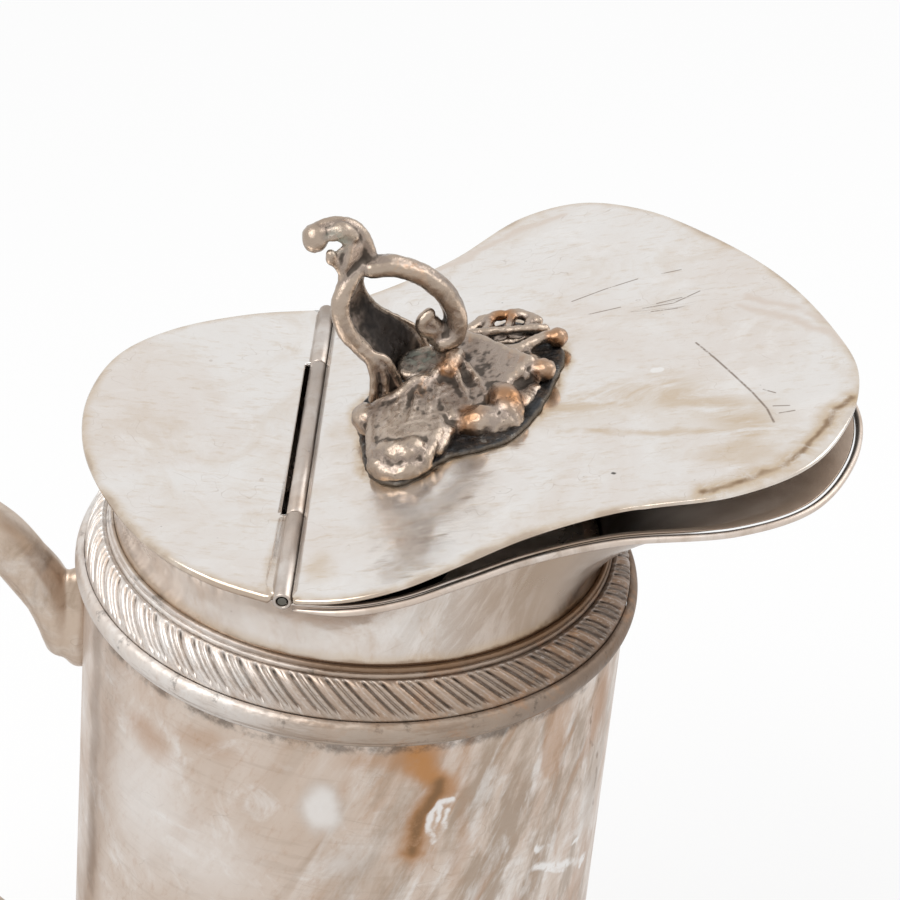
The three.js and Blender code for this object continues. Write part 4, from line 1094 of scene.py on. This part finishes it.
def build_scroll(material):
    """A broad curved strap with a rolled rail along each edge, a thick ring and a crest that curls over.
    Each limb is a line of places in the scroll's own directions with its radii; each sheet lies between two
    such lines."""
    near_rail = [(3.4, -4.6, 3), (3.3, -4.6, 6.4), (2.3, -4.7, 12.4), (-0.8, -4.7, 18), (-3.3, -4.5, 23.4),
                 (-3.5, -4.0, 29.4), (-0.4, -2.6, 34), (3.4, -0.8, 36)]
    far_rail = [(15.5, 5.0, 7), (14.3, 5.6, 12.6), (10.7, 6, 16.8), (6.6, 6, 21), (4.2, 5.8, 25.6),
                (3.6, 4.4, 30.6), (4.8, 2, 35)]
    ring = [(5.6, 0, 35), (11.4, 0, 33.4), (17, 0, 29.3), (20.9, 0, 24), (22.9, 0, 18.4), (22.7, 0, 14.2),
            (21, 0, 11.6), (18.6, 0, 11.2)]
    ring_radii = [2.1, 2.2, 2.3, 2.4, 2.5, 2.5, 2.4, 2.2]
    crest = [(5.6, 1, 34.5), (6.2, 1, 38.6), (5.5, 1, 42.8), (3.7, 1, 45.7), (0.7, 1, 47.3), (-2.3, 1, 47.6),
             (-4.4, 1, 46.8)]
    under_crest = [(-1.0, -2.4, 34.4), (-1.2, -2.6, 36.5), (0.8, -2.6, 40.4), (1.4, -2.4, 43),
                   (0.2, -2, 44.8), (-2.0, -1.6, 45.6), (-3.8, -1.0, 45.6)]
    leaf = [(-0.9, -2.4, 34.6), (-1.5, -2.6, 37.4), (-2.4, -2.8, 39.6), (-3.3, -3, 41), (-2.9, -3, 42.2)]
    limbs = [
        (near_rail, [2.5, 2.2, 2.0, 2.1, 2.3, 2.3, 2.2, 1.9]),
        (far_rail, [1.8, 1.3, 1.1, 1.1, 1.2, 1.3, 1.5]),
        # ridges down the strap
        ([(-3.4, -5.6, 21.5), (0.0, -6, 15.6), (0.2, -6.2, 10.9), (-1.0, -6.4, 5.4)], [0.9, 1.1, 1.1, 1.2]),
        ([(-1.6, -6.2, 18.5), (2.1, -6.3, 13), (2.6, -6.4, 9.2), (1.8, -6.6, 4.6)], [0.8, 1.0, 1.1, 1.3]),
        ([(0.4, -5.8, 17.2), (3.9, -6, 14), (5.2, -6, 9.2), (6.2, -6.2, 5)], [0.8, 1.1, 1.1, 1.2]),
        # ring, and the bud that curls in from its end
        (shifted(ring, 0, -1.5, 0), ring_radii),
        (shifted(ring, 0, 1.5, 0), ring_radii),
        (shifted(ring[:6], 0.4, -0.4, 0.5), [2.1, 2.2, 2.2, 2.3, 2.3, 2.2]),
        ([(16.9, -1, 19.6), (15.2, -1, 18.4), (14.7, -1, 16.6), (16, -1, 15.2), (18.2, 0, 14.6),
          (20.6, 0, 13.4)], [1.5, 1.7, 1.7, 1.9, 2.2, 2.2]),
        ([(16.4, -0.4, 17.6), (17.4, 0, 15.6), (17.6, 0, 12.6)], [2.3, 2.5, 2.4]),
        # crest, the knob at its tip, and the small leaf below it
        (crest, [2.5, 2.0, 1.8, 1.7, 1.6, 1.7, 2.0]),
        (under_crest, [1.6, 1.2, 1.0, 0.9, 0.8, 0.8, 1.0]),
        ([(-4.8, 0.6, 45.9), (-5.2, 0, 45.2)], [3.1, 2.9]),
        ([(-1.6, -0.6, 46.4), (0.9, -1.2, 46.2), (3.0, -1.2, 44.2)], [1.5, 2.2, 1.8]),
        (leaf, [1.1, 0.9, 0.9, 1.1, 1.3]),
    ]
    sheets = [
        (shifted(near_rail[1:-1], 0, 0.8, 0), shifted(far_rail[:-1], 0, 0, -0.4), 0.9, (-2.0, 0, -1.4)),
        (crest, under_crest, 0.9, (0.9, 0.6, -0.3)),
        (leaf[:4], under_crest[:4], 0.8, (0.4, 0.8, 0)),
    ]
    balls = [chain(in_scroll(points), radii) for points, radii in limbs]
    for near, far, radius, sag in sheets:
        balls.append(web(in_scroll(near), in_scroll(far), radius, sag))
    piece = fused_balls("thumb_scroll", np.vstack(balls), 0.4, 4, (0.16, 4.0), (0.05, 1.0), 1.4)
    green = (*in_scroll([(-0.5, -1.6, 44.6)])[0], 4.0)
    return dress_casting(piece, material, "thumbpiece_scroll", [green])


def build_leaves(material):
    """Broad overlapping leaves with rolled edges and small balls at their ends. Each limb is a line of places
    on the lid with its radii; each blade is the sheet between two such lines."""
    near_left = ([(23, 2, 7.6), (18.2, 2, 5.6), (16.9, -4, 4.6), (17.2, -12, 3.8), (18.6, -19, 3)],
                 [1.6, 1.9, 1.9, 2.0, 2.2])
    near_right = ([(30, 7.5, 7.8), (31.2, 3, 5.6), (32.2, -4, 4.4), (31.2, -11, 3.8), (28.8, -17.6, 3)],
                  [1.5, 1.6, 1.7, 1.9, 2.2])
    saucer = ([(23, 11, 8.0), (24.4, 18, 8.4), (29.8, 18.6, 8.6), (32.4, 14, 8.6), (31, 8.6, 8.2)],
              [1.2, 1.2, 1.2, 1.2, 1.1])
    middle_edge = ([(33, 15.5, 8), (32, 9, 7), (32.4, 2, 5.8), (34.8, -5, 4.4)], [1.6, 1.4, 1.2, 1.4])
    long_upper = ([(36.4, 26.6, 7.2), (40, 24.4, 7), (44.8, 20.6, 6.4), (52.3, 13.4, 6)],
                  [1.2, 0.9, 0.85, 1.0])
    long_lower = ([(38.6, 16, 4.8), (45.6, 12.4, 4), (51, 10.8, 3.8)], [1.2, 1.1, 1.3])
    limbs = [
        near_left, near_right, saucer, middle_edge, long_upper, long_lower,
        # near leaf: ridged root, veins, rounded nose, ball beside it
        ([(22.4, -1.4, 7.4), (24.3, 1.8, 8.2), (27.6, 5.2, 8.2), (30.2, 6.8, 7.8), (31.4, 3, 7.0),
          (30.4, -3, 5.8)], [0.8, 0.9, 0.9, 0.9, 0.9, 0.8]),
        ([(24.6, 1, 7.8), (22.6, -6, 6.7), (20.6, -13, 5.3)], [0.8, 0.7, 0.7]),
        ([(27, 4, 7.8), (26.2, -4, 6.9), (24.6, -12, 5.6)], [0.8, 0.8, 0.8]),
        ([(29.4, 3, 7.2), (29.4, -5, 6.2), (27.8, -13, 5.0)], [0.8, 0.7, 0.7]),
        ([(26.4, -16.4, 4.4), (24.2, -17.6, 4.4), (20.4, -16.4, 4.2)], [3.2, 3.5, 3.0]),
        ([(20.2, -14.2, 5.2), (19.6, -17.4, 4.6)], [1.3, 1.6]),
        ([(17.8, -17.6, 1.8), (20.6, -20.2, 1.6), (24.8, -20.4, 1.6), (28.2, -18, 1.8)],
         [2.4, 2.6, 2.6, 2.4]),
        ([(14.6, 1.8, 4.4), (14.6, -0.6, 4.3), (15.6, -2.6, 3.2)], [2.4, 3.3, 2.4]),
        ([(32.6, -2, 3), (33.2, -8, 2.4), (31.2, -14, 2.2)], [1.9, 2.1, 1.8]),
        # middle leaf: boss, veins, two front lobes
        ([(33.9, 10.5, 8), (34.9, 13.2, 8.6), (36, 15.4, 8.4)], [2.0, 2.5, 2.0]),
        ([(35.6, 10, 7.2), (37.4, 4, 5.6), (38.6, -1, 4.6)], [1.0, 0.8, 0.8]),
        ([(38, 13, 7), (41, 7.4, 5.4), (42.6, 2.6, 4.8)], [0.9, 0.8, 0.8]),
        ([(38.4, -4.6, 2.0), (40.6, -5, 2.3), (43, -4.2, 2.0)], [3.6, 4.1, 4.0]),
        ([(45.6, 3.8, 4.0), (46.6, 1.0, 3.8), (47, -1.8, 2.6)], [2.9, 3.9, 4.2]),
        ([(43.6, -4.4, 0.8), (46.8, -3.4, 0.8)], [4.2, 4.2]),
        # dark rough ground between the lobes and the long leaf
        ([(49.6, 3.6, 0.2), (52.4, 9, 0.2)], [2.8, 2.4]),
        # long leaf's middle, and its ball
        ([(41, 19.6, 5.2), (47, 15.6, 4.4), (52.6, 12.4, 4.2)], [0.8, 0.8, 1.2]),
        ([(53.4, 12.6, 4), (55.4, 12.6, 3.6)], [2.2, 2.9]),
        # narrow leaf behind it, and its ball
        ([(43, 22, 3.6), (49.6, 23.2, 3.6), (53.7, 26.6, 3.6), (57, 28, 3.2)], [2.4, 1.8, 1.5, 1.8]),
        ([(58.3, 27.6, 3), (58.7, 27.8, 2.8)], [2.5, 2.4]),
        # far leaf, pierced
        ([(36, 32, 4.2), (38.4, 36, 3.8), (42.2, 39.2, 3.9), (46.2, 40.4, 3.7), (50.2, 40, 3.3),
          (53.6, 37.2, 2.4)], [1.5, 1.5, 1.4, 1.3, 1.4, 1.5]),
        ([(37, 30.6, 4.8), (44.1, 31.4, 4.6), (48.1, 31.4, 4.3), (52.1, 32, 3.8), (55.4, 33, 2.6)],
         [1.4, 1.2, 1.1, 1.2, 1.4]),
        ([(41.2, 31.4, 4.2), (42.6, 38.8, 3.6)], [1.2, 1.2]),
        ([(46.4, 31.6, 4), (47.6, 39.8, 3.4)], [1.1, 1.2]),
        ([(50.8, 32, 3.6), (52, 38.6, 2.8)], [1.1, 1.2]),
        # mass under the leaves
        ([(22, 4, 1.5), (30, 9, 2.2), (38, 14, 1.6), (43, 22, 0.8)], [5.8, 6.2, 5.6, 4.8]),
        ([(24, -3, 0.8), (24, -10, 0.4), (23.6, -17, 0.2)], [5.6, 5.4, 5.0]),
        ([(31, -6, 0.2), (37, -1, 0.6), (44, 5, 0.6), (49, 12, 0.4), (52, 21, 0.2)],
         [4.2, 4.6, 4.2, 3.8, 3.0]),
        ([(36, 24, 1.8), (40, 32, 0.8)], [4.8, 3.4]),
    ]
    sheets = [
        (near_left[0], near_right[0], 1.5, (0, 0, 1.4)),
        (middle_edge[0], long_upper[0], 1.4, (0, 0, -1.4)),
        (long_upper[0], long_lower[0], 0.9, (0, 0, -0.7)),
        (saucer[0][:3], saucer[0][2:][::-1], 1.4, (0, 0, -0.6)),
        ([(37, 31, 1.2), (55, 33, 0.8)], [(39.5, 38, 1.2), (53, 37.4, 0.8)], 1.2, (0, 0, 0)),
    ]
    balls = np.vstack([chain(*limb) for limb in limbs] + [web(*sheet) for sheet in sheets])
    balls[:, 2] += PLATE_TOP
    piece = fused_balls("thumb_leaves", balls, 0.42, 5, (0.28, 3.2), (0.075, 0.9), 1.3)
    return dress_casting(piece, material, "thumbpiece_leaves", [(28, 15, 9, 6.5)])


def build_solder(material):
    """The pool of solder: thin at its wavy edge and banked up against the leaves."""
    line = spline(SOLDER_OUTLINE, 240, closed=True)[:-1]
    normal = inset(line, 1.0) - line
    ripple = np.array([noise.noise(Vector((p[0] / 3.0, p[1] / 3.0, 0))) for p in line])
    line = line + normal * (0.3 + 0.5 * ripple)[:, None]
    bank = [(1.4, 2.0), (0.8, 1.9), (0.3, 1.6), (0.0, 1.15), (0.1, 0.85)]
    piece = plate("solder_pool", line, bank, 0.85, 1.2)
    points = coordinates(piece)
    depth = distance_to_line(points, np.vstack([line, line[:1]]))
    wave = np.array([noise.fractal(Vector(p / 2.6), 0.7, 2.0, 3) for p in points])
    points[:, 2] += np.where(points[:, 2] > 1.7, 0.3 * wave * np.clip(depth, 0, 1.5), 0)
    move_vertices(piece, points)
    attribute(piece, "rim", depth)
    piece.matrix_world = LID_FRAME
    return dress(piece, "lid", material, "thumbpiece_solder")


# Handle

def build_handle(material):
    path = spline(HANDLE_PATH, 120)
    share = np.linspace(0, 1, len(path))
    fullness = 0.75 + 0.25 * np.sin(np.pi * share) ** 0.4
    line = np.column_stack([path[:, 0], 0 * share, path[:, 1]])
    piece = swept("handle_casting", line, (0, 1, 0), 7.2 * fullness, 6.2 * fullness, 32, 2.3)
    dress(piece, "casing", material, "handle_grip")
    upper = [([(-80, 0, 186), (-75, 0, 179.5), (-72, 0, 173), (-70.2, 0, 167), (-69.4, 0, 162.6)],
              [6.4, 6.6, 6.2, 5.6, 4.9]),
             ([(-66, 0, 180), (-65.6, 0, 172), (-65.6, 0, 163), (-65.4, 0, 158.6)], [3.4, 5.4, 5.6, 3.8])]
    lower = [([(-76, 0, 58), (-71, 0, 54), (-68, 0, 48), (-67, 0, 44)], [4.8, 4.8, 3.8, 2.4])]
    for name, node, limbs in (("handle_root_upper", "handle_upper_lug", upper),
                              ("handle_root_lower", "handle_lower_lug", lower)):
        balls = np.vstack([chain(*limb) for limb in limbs])
        piece = fused_balls(name, balls, 0.7, 8, (0.15, 9.0))
        dress(piece, "casing", material, node)


# Scene

def seen_or_mirrored(nodes):
    """1 for what the camera sees, itself or in a reflection, and 0 for the light that falls on things."""
    return nodes.math("MAXIMUM", *(nodes.add("ShaderNodeLightPath", output=f"Is {kind} Ray")
                                   for kind in ("Camera", "Glossy")))


def build_studio():
    """A white floor that keeps the shadow near the carafe and turns plain white farther off."""
    bpy.ops.mesh.primitive_plane_add(size=6)
    floor = bpy.context.object
    floor.name = "floor"
    material = bpy.data.materials.new("floor_white")
    material.use_nodes = True
    nodes = Nodes(material.node_tree)
    away = nodes.vector("LENGTH", nodes.add("ShaderNodeTexCoord", output="Object"), (0, 0, 0), "Value")
    plain = nodes.add("ShaderNodeMapRange", {"Value": away, "From Min": 0.5, "From Max": 2.2, "To Min": 0.75})
    shaded = nodes.add("ShaderNodeBsdfDiffuse", {"Color": (0.9, 0.9, 0.9, 1)})
    white = nodes.add("ShaderNodeEmission")
    mixed = nodes.add("ShaderNodeMixShader", {"Fac": seen_or_mirrored(nodes) * plain, 1: shaded, 2: white})
    nodes.add("ShaderNodeOutputMaterial", {"Surface": mixed})
    floor.data.materials.append(material)


def build_world():
    world = bpy.data.worlds.new("studio")
    bpy.context.scene.world = world
    world.use_nodes = True
    nodes = Nodes(world.node_tree)
    seen = seen_or_mirrored(nodes)
    strength = nodes.add("ShaderNodeMapRange", {"Value": seen, "To Min": 0.7, "To Max": 1.0})
    light = nodes.add("ShaderNodeBackground", {"Color": (1, 1, 1, 1), "Strength": strength})
    nodes.add("ShaderNodeOutputWorld", {"Surface": light})


def add_lamp(name, place, size, power):
    """A square lamp that faces the carafe's shoulder."""
    data = bpy.data.lights.new(name, "AREA")
    data.size = size
    data.energy = power
    lamp = link_object(name, data)
    lamp.location = place
    lamp.rotation_euler = (Vector((0, 0, 0.2)) - Vector(place)).to_track_quat("-Z", "Y").to_euler()


def add_camera():
    """The photograph's view: a long lens from above, rolled a little."""
    azimuth, elevation, roll_angle = (math.radians(angle) for angle in CAMERA_ANGLES)
    back = Vector((math.sin(azimuth) * math.cos(elevation), -math.cos(azimuth) * math.cos(elevation),
                   math.sin(elevation)))
    right = Vector((math.cos(azimuth), math.sin(azimuth), 0))
    up = back.cross(right)
    right, up = (right * math.cos(roll_angle) + up * math.sin(roll_angle),
                 up * math.cos(roll_angle) - right * math.sin(roll_angle))
    place = back * CAMERA_DISTANCE + right * CAMERA_ASIDE + up * CAMERA_LIFT + Vector((0, 0, COLLAR_Z * MM))
    data = bpy.data.cameras.new("camera")
    data.lens, data.sensor_width = 100, 36
    camera = link_object("camera", data)
    camera.matrix_world = Matrix.Translation(place) @ Matrix((right, up, back)).transposed().to_4x4()
    bpy.context.scene.camera = camera


silver = plain_plate("silver", WARM_SILVER, 0.35, 0.3).finish()
bead_silver = bead_material()
casting = casting_material()
steel = simple_material("steel", (0.55, 0.54, 0.52, 1), 1.0, 0.35)
glass = simple_material("silvered_glass", (0.72, 0.75, 0.76, 1), 0.8, 0.08, 0.02)
rubber = simple_material("rubber", (0.03, 0.03, 0.03, 1), 0.0, 0.75, 0.3)

build_body()
build_foot(silver)
build_collar_bead(bead_silver)
build_fluted_band(flute_material())
build_neck_reeds(bead_silver)
build_neck(neck_material())
build_rim_wire(rim_material())
build_lid(lid_material())
build_rear_plate(sheet_shader().finish())
build_barrels(plain_plate("barrel_silver", (0.50, 0.45, 0.41, 1), 0.6, 0.36).finish())
build_solder(solder_material())
build_leaves(casting)
build_scroll(casting)
build_handle(plain_plate("handle_silver", (0.56, 0.45, 0.35, 1), 0.85, 0.36).finish())

# Pieces that keep their solids' shapes
for node, material in {
    "base_cover": silver, "base_screw_1": steel, "base_screw_2": steel, "base_screw_3": steel,
    "hinge_pin": simple_material("dark_steel", (0.16, 0.15, 0.13, 1), 1.0, 0.45),
    "flask_inner_wall": glass, "flask_outer_wall": glass, "flask_cushion": rubber, "mouth_gasket": rubber,
    "pouring_funnel": silver,
}.items():
    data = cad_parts[node].data
    give_material(data, material)
    for polygon in data.polygons:
        polygon.use_smooth = False

build_studio()
build_world()
add_lamp("key", (-0.7, -0.5, 1.3), 0.9, 9)
add_lamp("fill", (0.9, 0.3, 1.1), 0.8, 5)
add_camera()
bpy.context.scene.view_settings.view_transform = "Standard"
